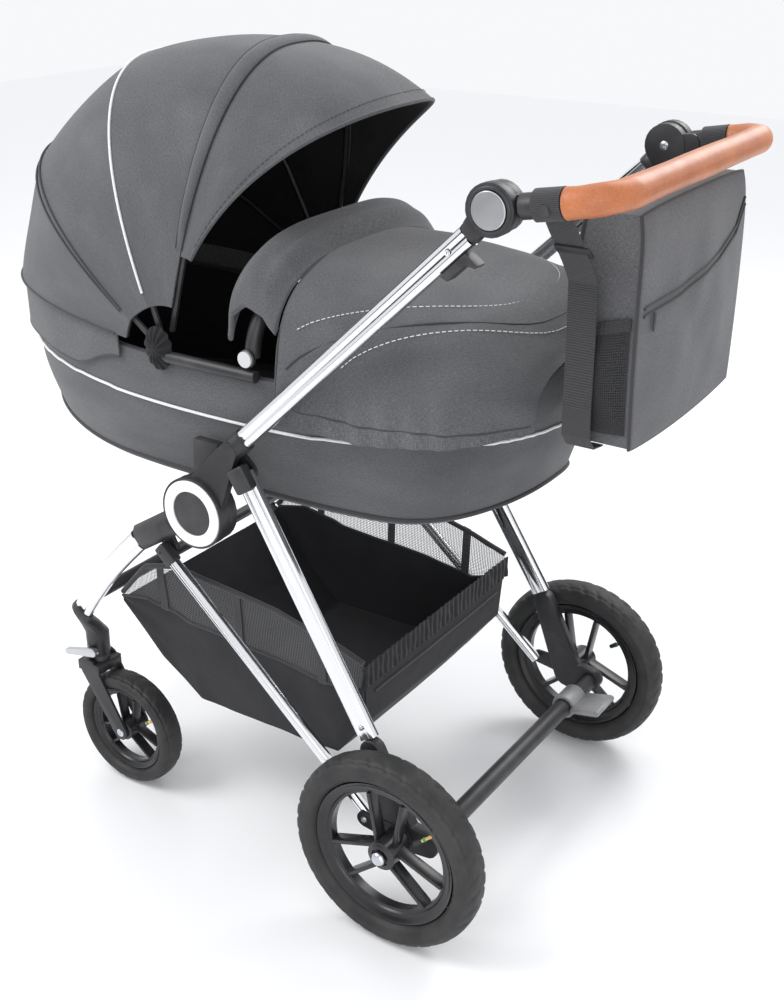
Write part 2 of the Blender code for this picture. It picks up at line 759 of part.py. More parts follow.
def make_bumper_bar(axis, materials):
    """A padded bar that arches over the lap between two side pivots."""
    path = []
    for i in range(17):
        turn = math.pi * i / 16
        x = 0.1980 * math.copysign(abs(math.cos(turn)) ** 0.70, math.cos(turn))
        path.append(place(x, -0.275 + 0.010 * math.sin(turn), 0.768 + 0.108 * math.sin(turn) ** 0.90))
    bm = bmesh.new()
    add_sweep_across(bm, path, 0.0105, 8)
    make_object(bm, "bumper_bar", materials["black_plastic"], axis)


def add_sweep_across(bm, path, radius, sides):
    """A round bar along a path in a plane square to Y, or nearly so."""
    rings = []
    for i, point in enumerate(path):
        along = (path[min(i + 1, len(path) - 1)] - path[max(i - 1, 0)]).normalized()
        flat = Vector((0, 1, 0))
        rings.append(oval(point, flat, along.cross(flat).normalized(), 2 * radius, 2 * radius, sides))
    loft(bm, rings)


def make_bumper_button(side, sign, axis, materials):
    """The release button at a foot of the bumper bar."""
    bm = bmesh.new()
    add_disc(bm, (-0.275, 0.768), 0.0110, sign * 0.2105, sign * 0.2165, 16)
    make_object(bm, f"bumper_button_{side}", materials["black_plastic"], axis)


def make_apron_flap(axis, materials):
    """The apron's upper flap, folded over the bumper bar like a saddle."""
    outer, inner = [], []
    for y, drop in ((-0.303, 0.050), (-0.297, 0.015), (-0.275, 0.0), (-0.250, 0.008), (-0.2265, 0.030)):
        outer.append(flap_section(y, drop, 0.0))
        inner.append(flap_section(-0.275 + (y + 0.275) * 0.66, drop, 0.010))
    bm = bmesh.new()
    loft(bm, [a + b[::-1] for a, b in zip(outer, inner)])
    make_object(bm, "apron_flap", materials["grey_fabric"], axis)


def flap_section(y, drop, offset):
    """One arch of the flap, at y and lowered by drop."""
    points = []
    for i in range(13):
        turn = math.pi * (0.10 + 0.80 * i / 12)
        x = (0.2140 - offset) * math.copysign(abs(math.cos(turn)) ** 0.55, math.cos(turn))
        points.append(place(x, y, 0.790 - drop + (0.128 - offset) * math.sin(turn) ** 0.8))
    return points


# ---------------------------------------------------------------- canopy

def bow_point(angle, half_w, height, turn):
    """A point of a bow: turn runs from 0 at the left hinge to pi at the right one."""
    squareness = 2.6
    x = half_w * math.copysign(abs(math.cos(turn)) ** (2 / squareness), math.cos(turn))
    reach = height * abs(math.sin(turn)) ** (2 / squareness)
    y, z = polar(angle, reach)
    return place(x, CANOPY_HINGE[0] + y, CANOPY_HINGE[1] + z)


def make_bow(name, axis, materials, index):
    """One bent tube of the hood."""
    path = []
    for i in range(17):
        turn = 0.02 + (math.pi - 0.04) * i / 16
        half_width, height = BOW_HALF_WIDTHS[index] - BOW_INSET, BOW_HEIGHTS[index] - BOW_INSET
        path.append(bow_point(BOW_ANGLES[index], half_width, height, turn))
    square_on = Vector((0, -math.sin(BOW_ANGLES[index]), math.cos(BOW_ANGLES[index])))
    rings = []
    for i, point in enumerate(path):
        along = (path[min(i + 1, len(path) - 1)] - path[max(i - 1, 0)]).normalized()
        across = along.cross(square_on).normalized()
        rings.append(oval(point, square_on, across, 2 * BOW_TUBE_R, 2 * BOW_TUBE_R, 6))
    bm = bmesh.new()
    loft(bm, rings)
    make_object(bm, name, materials["black_plastic"], axis)


def make_canopy_panel(name, axis, materials, first, last, steps):
    """A curved sheet between two bows, each given as (angle, half width, height)."""
    shells = []
    for offset in (0.0, FABRIC):
        rings = []
        for step in range(steps + 1):
            share = step / steps
            angle, half_w, height = (a + (b - a) * share for a, b in zip(first, last))
            sag = 0.004 * math.sin(math.pi * share)
            rings.append([sheet_point(angle, half_w, height, sag, offset, i) for i in range(17)])
        shells.append(rings)
    bm = bmesh.new()
    loft(bm, [a + b[::-1] for a, b in zip(*shells)])
    make_object(bm, name, materials["grey_fabric"], axis)


def sheet_point(angle, half_w, height, sag, offset, i):
    """A point of the cloth between two bows."""
    start = 0.10
    turn = start + (math.pi - 2 * start) * i / 16
    return bow_point(angle, half_w - offset, height - offset - sag * math.sin(turn), turn)


def make_visor(axis, materials):
    """The peak in front of the front bow, deepest over the middle."""
    first = BOW_ANGLES[0] - math.radians(0.7)
    shells = []
    for offset in (0.0, FABRIC):
        rings = []
        for step in range(4):
            rings.append([visor_point(first, step / 3, offset, i) for i in range(15)])
        shells.append(rings)
    bm = bmesh.new()
    loft(bm, [a + b[::-1] for a, b in zip(*shells)])
    make_object(bm, "canopy_visor", materials["grey_fabric"], axis)


def visor_point(first, share, offset, i):
    """A point of the visor."""
    start = 0.24
    turn = start + (math.pi - 2 * start) * i / 14
    depth = math.sin(math.pi * (0.06 + 0.88 * i / 14)) ** 0.8
    angle = first - math.radians(26) * depth * share
    flare = 0.028 * depth * share
    return bow_point(angle, BOW_HALF_WIDTHS[0] - offset, BOW_HEIGHTS[0] + flare - offset, turn)


def make_canopy(axes, materials):
    """The three bows, the three panels and the visor."""
    for index, name in enumerate(("front", "middle", "rear")):
        make_bow(f"canopy_bow_{name}", axes[f"canopy_{name}"], materials, index)
    front, middle, rear = zip(BOW_ANGLES, BOW_HALF_WIDTHS, BOW_HEIGHTS)
    skirt = (SKIRT_ANGLE, BOW_HALF_WIDTHS[2], SKIRT_HEIGHT)
    seam = math.radians(0.4)
    before_middle, behind_middle = (middle[0] - seam, *middle[1:]), (middle[0] + seam, *middle[1:])
    before_rear, behind_rear = (rear[0] - seam, *rear[1:]), (rear[0] + seam, *rear[1:])
    make_canopy_panel("canopy_panel_front", axes["canopy_middle"], materials, front, before_middle, 4)
    make_canopy_panel("canopy_panel_middle", axes["canopy_rear"], materials, behind_middle, before_rear, 4)
    make_canopy_panel("canopy_panel_rear", axes["seat"], materials, behind_rear, skirt, 3)
    make_visor(axes["canopy_front"], materials)


# ---------------------------------------------------------------- bag and basket

BAG_LOW = (-0.165, 0.156, 0.735)
BAG_HIGH = (0.160, 0.252, 1.012)


def make_bag(axis, materials):
    """A soft rectangular bag, a little fuller at the bottom, under the handle's crossbar."""
    rings = []
    levels = (
        (BAG_LOW[2], -0.014),
        (BAG_LOW[2] + 0.012, 0.0),
        (0.86, 0.0),
        (BAG_HIGH[2] - 0.016, -0.004),
        (BAG_HIGH[2], -0.018),
    )
    for z, grow in levels:
        rings.append(rounded_ring(z, grow))
    bm = bmesh.new()
    loft(bm, rings)
    make_object(bm, "changing_bag", materials["grey_fabric"], axis)


def rounded_ring(z, grow):
    """A ring with rounded corners at a height of the bag."""
    corner = 0.022
    ring = []
    for sx, sy, first in ((1, 1, 0), (-1, 1, 90), (-1, -1, 180), (1, -1, 270)):
        cx = (BAG_HIGH[0] if sx > 0 else BAG_LOW[0]) - sx * (corner - grow)
        cy = (BAG_HIGH[1] if sy > 0 else BAG_LOW[1]) - sy * (corner - grow)
        for step in range(4):
            y_turn = math.radians(first + 30 * step)
            ring.append(place(cx + corner * math.cos(y_turn), cy + corner * math.sin(y_turn), z))
    return ring


def make_bag_strap(axis, materials):
    """Webbing that loops round both handle stubs and runs down the sides and under the bag."""
    rise = Vector((0, math.cos(HANDLE_RISE), math.sin(HANDLE_RISE)))
    loop_at = place(0, *HANDLE_PIVOT) + rise * 0.068
    side_y = 0.205 + AXLE_Y
    half_run = [
        Vector((HANDLE_X, loop_at.y, loop_at.z - STUB_R - 0.0050)),
        Vector((0.182, (loop_at.y + side_y) / 2, 0.965)),
        Vector((0.1655, side_y, 0.900)),
        Vector((0.1680, side_y, 0.748)),
        Vector((0.1520, side_y, 0.7200)),
    ]
    run = half_run + [Vector((-p.x - (0.004 if p.x < 0.2 else 0), p.y, p.z)) for p in half_run[::-1]]
    pieces = [lambda bm: add_ribbon(bm, run, 0.034, 0.0024)]
    for _, sign in SIDES:
        centre = Vector((sign * HANDLE_X, loop_at.y, loop_at.z))
        pieces.append(lambda bm, c=centre: add_loop(bm, c, rise, STUB_R + 0.0006, STUB_R + 0.0034, 0.034))
    fuse(pieces, "bag_strap", materials["webbing"], axis)


def add_ribbon(bm, run, width, thickness):
    """A flat band along a list of points, lying across Y."""
    rings = []
    for i, point in enumerate(run):
        along = (run[min(i + 1, len(run) - 1)] - run[max(i - 1, 0)]).normalized()
        flat = Vector((0, 1, 0))
        out = along.cross(flat).normalized() * thickness / 2
        half = flat * width / 2
        rings.append([point - half - out, point + half - out, point + half + out, point - half + out])
    loft(bm, rings)


def add_loop(bm, centre, along, inner_r, outer_r, width):
    """A short round sleeve about the handle stub."""
    across = Vector((1, 0, 0))
    up = along.cross(across)
    rings = []
    for step in range(14):
        turn = 2 * math.pi * step / 14
        way = across * math.cos(turn) + up * math.sin(turn)
        ring = []
        for radius, shift in ((inner_r, -0.5), (outer_r, -0.5), (outer_r, 0.5), (inner_r, 0.5)):
            ring.append(centre + way * radius + along * shift * width)
        rings.append(ring)
    loft(bm, rings, closed=True)


BASKET_SIDE = (
    (-0.560, 0.318),
    (-0.490, 0.235),
    (-0.420, 0.178),
    (-0.160, 0.178),
    (-0.105, 0.250),
    (-0.100, 0.345),
)
BASKET_RIM = (
    (-0.560, 0.330),
    (-0.500, 0.395),
    (-0.440, 0.412),
    (-0.250, 0.395),
    (-0.160, 0.375),
    (-0.100, 0.356),
)


def make_basket(axis, materials):
    """A fabric tub slung between the legs, open above."""
    half_w, wall = 0.205, 0.005
    bm = bmesh.new()
    outer_low = basket_ring(half_w - 0.020, 0.0, BASKET_SIDE, 0.0)
    outer_top = basket_ring(half_w, 0.0, BASKET_RIM, 0.0)
    inner_top = basket_ring(half_w - wall, wall, BASKET_RIM, 0.0)
    inner_low = basket_ring(half_w - 0.020 - wall, wall, BASKET_SIDE, wall)
    loops = [[bm.verts.new(p) for p in ring] for ring in (outer_low, outer_top, inner_top, inner_low)]
    for one, two in zip(loops, loops[1:]):
        for i in range(len(one)):
            j = (i + 1) % len(one)
            bm.faces.new((one[i], one[j], two[j], two[i]))
    cap_basket(bm, loops[0])
    cap_basket(bm, loops[-1])
    make_object(bm, "basket", materials["black_fabric"], axis)


def basket_ring(half_w, shrink, outline, lift):
    """Left side from front to back, then right side from back to front."""
    middle = (outline[0][0] + outline[-1][0]) / 2
    ring = []
    for sign, points in ((1, outline), (-1, outline[::-1])):
        for y, z in points:
            inward = shrink if y < middle else -shrink
            shift = inward if y in (outline[0][0], outline[-1][0]) else 0.0
            ring.append(place(sign * half_w, y + shift, z + lift))
    return ring


def cap_basket(bm, loop):
    """Strips across the tub, which follow its curved floor."""
    count = len(loop) // 2
    left, right = loop[:count], loop[count:][::-1]
    for i in range(count - 1):
        bm.faces.new((left[i], left[i + 1], right[i + 1], right[i]))


# ---------------------------------------------------------------- assembly

def make_axes():
    """The joint axis each node moves with."""
    axes = {"rear_frame": make_axis("rear_frame_axis", 0, (0, 0))}
    places = {
        "upper": (0, REAR_PIVOT), "front": (0, HUB), "strut": (0, STRUT_TOP), "handle": (0, HANDLE_PIVOT),
        "brake": (0, CROSS_TUBE), "seat": (0, (HUB[0], 0.56)), "bumper": (0, (-0.275, 0.768)),
        "bag": (0, (0.240, 1.040)),
        "canopy_rear": (0, CANOPY_HINGE),
        "canopy_middle": (0, CANOPY_HINGE),
        "canopy_front": (0, CANOPY_HINGE),
    }
    for side, sign in SIDES:
        places[f"rear_wheel_{side}"] = (sign * REAR_WHEEL_X, (0.0, REAR_WHEEL_R))
        places[f"caster_{side}"] = (sign * CASTER_X, (SWIVEL_Y, STEM_TOP_Z))
        places[f"front_wheel_{side}"] = (sign * CASTER_X, CASTER_AXLE)
        places[f"lock_{side}"] = (sign * CASTER_X, (-0.595, 0.229))
        places[f"handle_button_{side}"] = (sign * 0.250, HANDLE_PIVOT)
        places[f"trigger_{side}"] = (sign * FRAME_X, (0.0495, 0.9605))
        places[f"bumper_button_{side}"] = (sign * 0.2105, (-0.275, 0.768))
    for name, (x, yz) in places.items():
        axes[name] = make_axis(f"{name}_axis", x, yz)
    return axes


def make_materials():
    """Every material, by its slot."""
    return {
        "chrome": make_material("chrome", (0.72, 0.73, 0.75), 0.16, 1.0),
        "black_plastic": make_material("black_plastic", (0.018, 0.018, 0.020), 0.45),
        "grey_plastic": make_material("grey_plastic", (0.25, 0.25, 0.26), 0.5),
        "silver_plastic": make_material("silver_plastic", (0.55, 0.56, 0.58), 0.3, 0.7),
        "white_plastic": make_material("white_plastic", (0.85, 0.85, 0.86), 0.35),
        "rubber": make_material("rubber", (0.022, 0.022, 0.024), 0.75),
        "tan_leather": make_material("tan_leather", (0.48, 0.16, 0.055), 0.5),
        "grey_fabric": make_material("grey_fabric", (0.085, 0.086, 0.092), 0.9),
        "lining_fabric": make_material("lining_fabric", (0.02, 0.02, 0.022), 0.9),
        "black_fabric": make_material("black_fabric", (0.018, 0.018, 0.02), 0.85),
        "webbing": make_material("webbing", (0.016, 0.016, 0.018), 0.7),
    }


def main():
    """Clears the scene and builds every node."""
    for old in list(bpy.data.objects):
        bpy.data.objects.remove(old)
    materials = make_materials()
    axes = make_axes()
    make_rear_frame(axes["rear_frame"], materials)
    make_rear_wheels(axes, materials)
    make_brake_pedal(axes["brake"], materials)
    make_upper_frame(axes["upper"], materials)
    make_handle(axes["handle"], materials)
    make_front_frame(axes["front"], materials)
    for side, sign in SIDES:
        make_strut(side, sign, axes["strut"], materials)
        make_handle_button(side, sign, axes[f"handle_button_{side}"], materials)
        make_fold_trigger(side, sign, axes[f"trigger_{side}"], materials)
        make_caster(side, sign, axes, materials)
        make_caster_lock(side, sign, axes[f"lock_{side}"], materials)
        make_bumper_button(side, sign, axes[f"bumper_button_{side}"], materials)
    make_bassinet(axes["seat"], materials)
    make_mattress(axes["seat"], materials)
    make_apron(axes["seat"], materials)
    make_bumper_bar(axes["bumper"], materials)
    make_apron_flap(axes["bumper"], materials)
    make_canopy(axes, materials)
    make_bag(axes["bag"], materials)
    make_bag_strap(axes["bag"], materials)
    make_basket(axes["rear_frame"], materials)


main()
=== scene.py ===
# %% [markdown]
# # A baby stroller, dressed over its CAD frame
# The imported CAD model already has every size, joint and place right. This lesson leaves it where it is
# and builds the surfaces that an eye would look at: ribbed tyres, chrome tubes, sewn cloth, webbing,
# leather and zips. Most pieces ride on the CAD body that carries them, so they follow it when the stroller
# folds; the canopy gores and the bag's strap runs ride on no body.
# %% Load the imported frame
import json
import math

import bpy
from mathutils import Matrix, Vector, noise

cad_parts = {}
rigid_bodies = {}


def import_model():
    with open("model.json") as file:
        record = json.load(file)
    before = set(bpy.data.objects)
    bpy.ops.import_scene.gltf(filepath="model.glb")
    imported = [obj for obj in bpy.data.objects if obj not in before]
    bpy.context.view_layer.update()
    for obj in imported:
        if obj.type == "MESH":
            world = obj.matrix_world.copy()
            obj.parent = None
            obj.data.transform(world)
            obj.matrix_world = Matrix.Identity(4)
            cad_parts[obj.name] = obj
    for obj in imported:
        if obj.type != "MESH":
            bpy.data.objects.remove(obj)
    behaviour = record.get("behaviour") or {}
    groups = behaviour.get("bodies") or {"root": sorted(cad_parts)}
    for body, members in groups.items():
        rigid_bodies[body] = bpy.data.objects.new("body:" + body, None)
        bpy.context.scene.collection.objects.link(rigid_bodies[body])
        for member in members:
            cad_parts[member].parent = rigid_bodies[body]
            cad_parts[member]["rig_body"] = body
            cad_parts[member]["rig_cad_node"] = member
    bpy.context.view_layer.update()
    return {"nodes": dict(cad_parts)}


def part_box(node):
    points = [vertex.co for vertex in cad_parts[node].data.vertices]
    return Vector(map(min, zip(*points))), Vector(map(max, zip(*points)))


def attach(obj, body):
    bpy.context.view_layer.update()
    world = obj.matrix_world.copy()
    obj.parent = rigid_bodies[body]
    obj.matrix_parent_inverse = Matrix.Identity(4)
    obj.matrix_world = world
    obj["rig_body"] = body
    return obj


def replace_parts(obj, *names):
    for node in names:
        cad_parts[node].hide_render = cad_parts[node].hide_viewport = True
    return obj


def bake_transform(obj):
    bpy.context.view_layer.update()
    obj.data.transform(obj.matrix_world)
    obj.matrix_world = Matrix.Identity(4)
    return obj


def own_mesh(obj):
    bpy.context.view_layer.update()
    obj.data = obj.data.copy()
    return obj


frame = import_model()
SIDES = (("left", 1), ("right", -1))

# %% [markdown]
# ## Places
# Lengths along the stroller are easiest to read from the rear axle, so `at` takes a point measured from
# there and gives it in the frame's own coordinates. The driving sizes below are the CAD model's.
# %% Driving places and sizes
AXLE_Y = sum(c.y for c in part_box("rear_axle_left")) / 2
FRAME_X = 0.240
HUB = (-0.345, 0.545)
SLEEVE_TOP, UPPER_TOP = (-0.259, 0.669), (0.086, 0.995)
HANDLE_PIVOT, HANDLE_RISE = (0.104, 1.016), math.radians(10)
HANDLE_X, HANDLE_REACH, CORNER_R, GRIP_R = 0.2366, 0.138, 0.050, 0.0175
REAR_PIVOT, REAR_LEG_END = (-0.265, 0.618), (-0.058, 0.280)
STRUT_TOP, STRUT_END = (-0.414, 0.464), (-0.060, 0.150)
ARM_END, FRONT_LEG_END = (-0.464, 0.470), (-0.600, 0.310)
SEAT_HALF_W, HEAD_Y, FOOT_Y = 0.200, -0.815, 0.100
HINGE = (-0.432, 0.754)
BOWS = {"front": (76.0, 0.194, 0.400), "middle": (111.5, 0.204, 0.392), "rear": (145.0, 0.214, 0.396)}
SKIRT = (174.0, 0.214, 0.396)
CASTER_AXLE = (-0.550, 0.096)


def at(x, y, z):
    """A point measured from the rear axle, in the frame's coordinates."""
    return Vector((x, y + AXLE_Y, z))


def toward(start, end, distance):
    """The (y, z) point at a distance from start on the way to end."""
    share = distance / math.dist(start, end)
    return tuple(a + (b - a) * share for a, b in zip(start, end))


def smooth(low, high, value):
    """0 below low, 1 above high, and an easy curve between them."""
    share = max(0.0, min(1.0, (value - low) / (high - low)))
    return share * share * (3 - 2 * share)


def piece_of(line, share):
    """Which piece of a line of points a share of it falls on, and how far along that piece."""
    spot = share * (len(line) - 1)
    i = min(int(spot), len(line) - 2)
    return i, spot - i


def upright(start, end):
    """The turn about X that stands a block's height along start to end, both (y, z)."""
    turn = math.atan2(end[1] - start[1], end[0] - start[0]) + math.pi / 2
    return Matrix.Rotation(turn, 4, "X").to_3x3()


print("rear axle at y", round(AXLE_Y, 4))

# %% [markdown]
# ## Working by hand, in code
# Blender's operators act on whatever is selected, so every helper starts by deselecting all. `settle`
# writes a piece's place into its mesh, shades it, paints it and lets it ride on its body.
# %% Selection, modifiers and finishing
def pick(obj):
    """Makes obj the only selected object, in object mode."""
    if bpy.context.object and bpy.context.object.mode != "OBJECT":
        bpy.ops.object.mode_set(mode="OBJECT")
    bpy.ops.object.select_all(action="DESELECT")
    obj.select_set(True)
    bpy.context.view_layer.objects.active = obj


def clear():
    """Deselects everything before a primitive is added."""
    bpy.ops.object.select_all(action="DESELECT")


def modify(obj, kind, **settings):
    """Adds a modifier and applies it."""
    pick(obj)
    step = obj.modifiers.new(kind.title(), kind)
    for name, value in settings.items():
        setattr(step, name, value)
    bpy.ops.object.modifier_apply(modifier=step.name)


def settle(obj, name, material, body, slot=None, angle=38):
    """Names, applies, shades and paints a piece, and lets it ride on a body."""
    pick(obj)
    bpy.ops.object.transform_apply(location=True, rotation=True, scale=True)
    obj.name = obj.data.name = name
    bpy.ops.object.shade_smooth_by_angle(angle=math.radians(angle))
    obj.data.materials.clear()
    for one in material if isinstance(material, (list, tuple)) else [material]:
        obj.data.materials.append(one)
    if body:
        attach(obj, body)
    return obj


def join(parts):
    """Joins several objects into the first."""
    pick(parts[0])
    for part in parts:
        part.select_set(True)
    bpy.ops.object.join()
    return bpy.context.object


def outward(obj):
    """Merges doubles and turns every face outwards."""
    pick(obj)
    bpy.ops.object.mode_set(mode="EDIT")
    bpy.ops.mesh.select_all(action="SELECT")
    bpy.ops.mesh.remove_doubles(threshold=0.00002)
    bpy.ops.mesh.normals_make_consistent(inside=False)
    bpy.ops.object.mode_set(mode="OBJECT")
    return obj


# %% [markdown]
# ## Shapes that come back again and again
# Cloth, padding and bent tubes are all a grid that is laid on a curved surface: `skin` adds Blender's
# grid primitive and moves each point to where a formula says. `turned` spins a profile about the X
# axis, which is how every wheel, ring and button on a stroller is made. `cord_along` is for piping.
# %% Grids laid on a surface
def skin(columns, rows, shape, around=False, size=(1.0, 1.0), caps=False):
    """A grid whose point at (u, v), both 0 to 1, lies at shape(u, v). size is its cloth size in metres."""
    clear()
    bpy.ops.mesh.primitive_grid_add(x_subdivisions=columns, y_subdivisions=rows, size=1)
    made = bpy.context.object
    for point in made.data.vertices:
        point.co = shape(point.co.x + 0.5, point.co.y + 0.5)
    for loop in made.data.uv_layers.active.data:
        loop.uv = (loop.uv.x * size[0], loop.uv.y * size[1])
    pick(made)
    if around:
        bpy.ops.object.mode_set(mode="EDIT")
        bpy.ops.mesh.select_all(action="SELECT")
        bpy.ops.mesh.remove_doubles(threshold=0.00001)
        if caps:
            bpy.ops.mesh.fill_holes(sides=0)
            bpy.ops.mesh.select_all(action="SELECT")
        bpy.ops.mesh.normals_make_consistent(inside=False)
        bpy.ops.object.mode_set(mode="OBJECT")
    return made


def thicken(obj, thickness, offset=-1.0, lining=False):
    """Gives a sheet its thickness. With lining, the inner face takes the second material."""
    inner = 1 if lining else 0
    modify(obj, "SOLIDIFY", thickness=thickness, offset=offset, use_even_offset=False, material_offset=inner)


def ripple(point, scale, amount, seed=0.0):
    """A soft random push, the same at every run."""
    return noise.noise(Vector(point) * scale + Vector((seed, 2.3 * seed, 0.7))) * amount


# %% Turned pieces and cords
def turned(profile, centre, steps=64, closed=True):
    """Spins (radius, x) points about the X axis through centre (y, z)."""
    mesh = bpy.data.meshes.new("profile")
    points = [at(x, centre[0], centre[1] + radius) for radius, x in profile]
    edges = [(i, i + 1) for i in range(len(points) - 1)]
    if closed:
        edges.append((len(points) - 1, 0))
    mesh.from_pydata(points, edges, [])
    made = bpy.data.objects.new("profile", mesh)
    bpy.context.scene.collection.objects.link(made)
    pick(made)
    bpy.ops.object.mode_set(mode="EDIT")
    bpy.ops.mesh.select_all(action="SELECT")
    bpy.ops.mesh.spin(steps=steps, angle=2 * math.pi, center=at(0, *centre), axis=(1, 0, 0))
    bpy.ops.object.mode_set(mode="OBJECT")
    return outward(made)


def cord_along(points, radius, closed=False, sides=3):
    """A round cord along a list of points, made a mesh."""
    curve = bpy.data.curves.new("cord", "CURVE")
    curve.dimensions = "3D"
    curve.bevel_depth, curve.bevel_resolution, curve.use_fill_caps = radius, sides, True
    run = curve.splines.new("POLY")
    run.points.add(len(points) - 1)
    for spot, place in zip(run.points, points):
        spot.co = (*place, 1.0)
    run.use_cyclic_u = closed
    made = bpy.data.objects.new("cord", curve)
    bpy.context.scene.collection.objects.link(made)
    pick(made)
    bpy.ops.object.convert(target="MESH")
    return bpy.context.object


def rod(start, end, radius, sides=24, radius_end=None):
    """A round rod or cone between two points."""
    clear()
    way = end - start
    bpy.ops.mesh.primitive_cone_add(
        vertices=sides, radius1=radius, radius2=radius if radius_end is None else radius_end,
        depth=way.length, location=(start + end) / 2, rotation=way.to_track_quat("Z", "Y").to_euler(),
    )
    made = bpy.context.object
    bpy.ops.object.transform_apply(location=True, rotation=True, scale=True)
    return made


def block(centre, size, bevel=0.001, turn=None):
    """A cube with rounded edges. turn is a matrix that turns it about its centre."""
    clear()
    bpy.ops.mesh.primitive_cube_add(size=1, location=centre)
    made = bpy.context.object
    made.scale = size
    bpy.ops.object.transform_apply(location=False, rotation=False, scale=True)
    if turn:
        made.rotation_euler = turn.to_euler()
    bpy.ops.object.transform_apply(location=True, rotation=True, scale=True)
    modify(made, "BEVEL", width=bevel, segments=3, limit_method="ANGLE")
    return made


def finished(node, bevel=0.0007):
    """A copy of a CAD node with its points joined and its edges rounded, which is shown in its place."""
    source = frame["nodes"][node]
    copy = source.copy()
    copy.data = source.data.copy()
    copy.parent = None
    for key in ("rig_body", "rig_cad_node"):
        del copy[key]
    bpy.context.scene.collection.objects.link(copy)
    outward(copy)
    modify(copy, "BEVEL", width=bevel, segments=2, limit_method="ANGLE", angle_limit=math.radians(38))
    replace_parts(copy, node)
    return copy


# %% [markdown]
# ## Light and camera
# A pale floor, one large soft lamp above, one at each side, and an even pale sky give the soft light of
# a studio. Two dark cards stand out of sight so that the chrome has something dark to mirror. The camera
# looks down on the handle's left corner.
# %% Floor, sky and lamps
clear()
bpy.ops.mesh.primitive_plane_add(size=14, location=(0, 0, -0.0005))
floor = bpy.context.object
floor.name = "floor"
paper = bpy.data.materials.new("paper")
paper.use_nodes = True
paper.node_tree.nodes["Principled BSDF"].inputs["Base Color"].default_value = (0.94, 0.94, 0.95, 1)
paper.node_tree.nodes["Principled BSDF"].inputs["Roughness"].default_value = 0.32
floor.data.materials.append(paper)

world = bpy.data.worlds.new("sky")
bpy.context.scene.world = world
world.use_nodes = True
world.node_tree.nodes["Background"].inputs["Color"].default_value = (0.97, 0.98, 1.0, 1)
world.node_tree.nodes["Background"].inputs["Strength"].default_value = 0.96


def lamp(name, place, aim, size, power):
    """A soft rectangular lamp that points at aim."""
    light = bpy.data.lights.new(name, "AREA")
    light.shape, light.size, light.size_y, light.energy = "RECTANGLE", size[0], size[1], power
    holder = bpy.data.objects.new(name, light)
    holder.location = place
    holder.rotation_euler = (Vector(aim) - Vector(place)).to_track_quat("-Z", "Y").to_euler()
    bpy.context.scene.collection.objects.link(holder)
    return holder


lamp("key", (1.6, -1.5, 2.8), (0, 0, 0.6), (1.6, 1.6), 50)
lamp("fill", (2.4, 2.0, 1.2), (0, 0, 0.5), (1.2, 2.0), 16)
lamp("back", (-2.0, 0.6, 2.4), (0, 0, 0.7), (1.4, 1.4), 34)

# %% Dark cards for the chrome, and the camera
coal = bpy.data.materials.new("coal")
coal.use_nodes = True
coal.node_tree.nodes["Principled BSDF"].inputs["Base Color"].default_value = (0.01, 0.01, 0.01, 1)
for name, place, turn, size in (
    ("card_left", (2.6, -1.2, 0.5), (0, math.pi / 2, -0.5), (1.0, 1.4)),
    ("card_back", (-2.2, 1.8, 0.5), (0, math.pi / 2, -0.7), (1.0, 1.2)),
):
    clear()
    bpy.ops.mesh.primitive_plane_add(size=1, location=place, rotation=turn)
    card = bpy.context.object
    card.scale = (size[0], size[1], 1)
    card.name = name
    card.data.materials.append(coal)
    card.visible_camera = card.visible_diffuse = card.visible_shadow = False

lens = bpy.data.cameras.new("camera")
lens.sensor_fit, lens.sensor_height, lens.lens = "VERTICAL", 36, 48.53
camera = bpy.data.objects.new("camera", lens)
camera.location = at(1.510, 0.810, 1.334)
camera.rotation_mode = "QUATERNION"
camera.rotation_quaternion = Vector((-0.7591, -0.5008, -0.4159)).to_track_quat("-Z", "Y")
bpy.context.scene.collection.objects.link(camera)
bpy.context.scene.camera = camera
bpy.context.scene.view_settings.view_transform = "Standard"
print("camera", [round(c, 3) for c in camera.location])

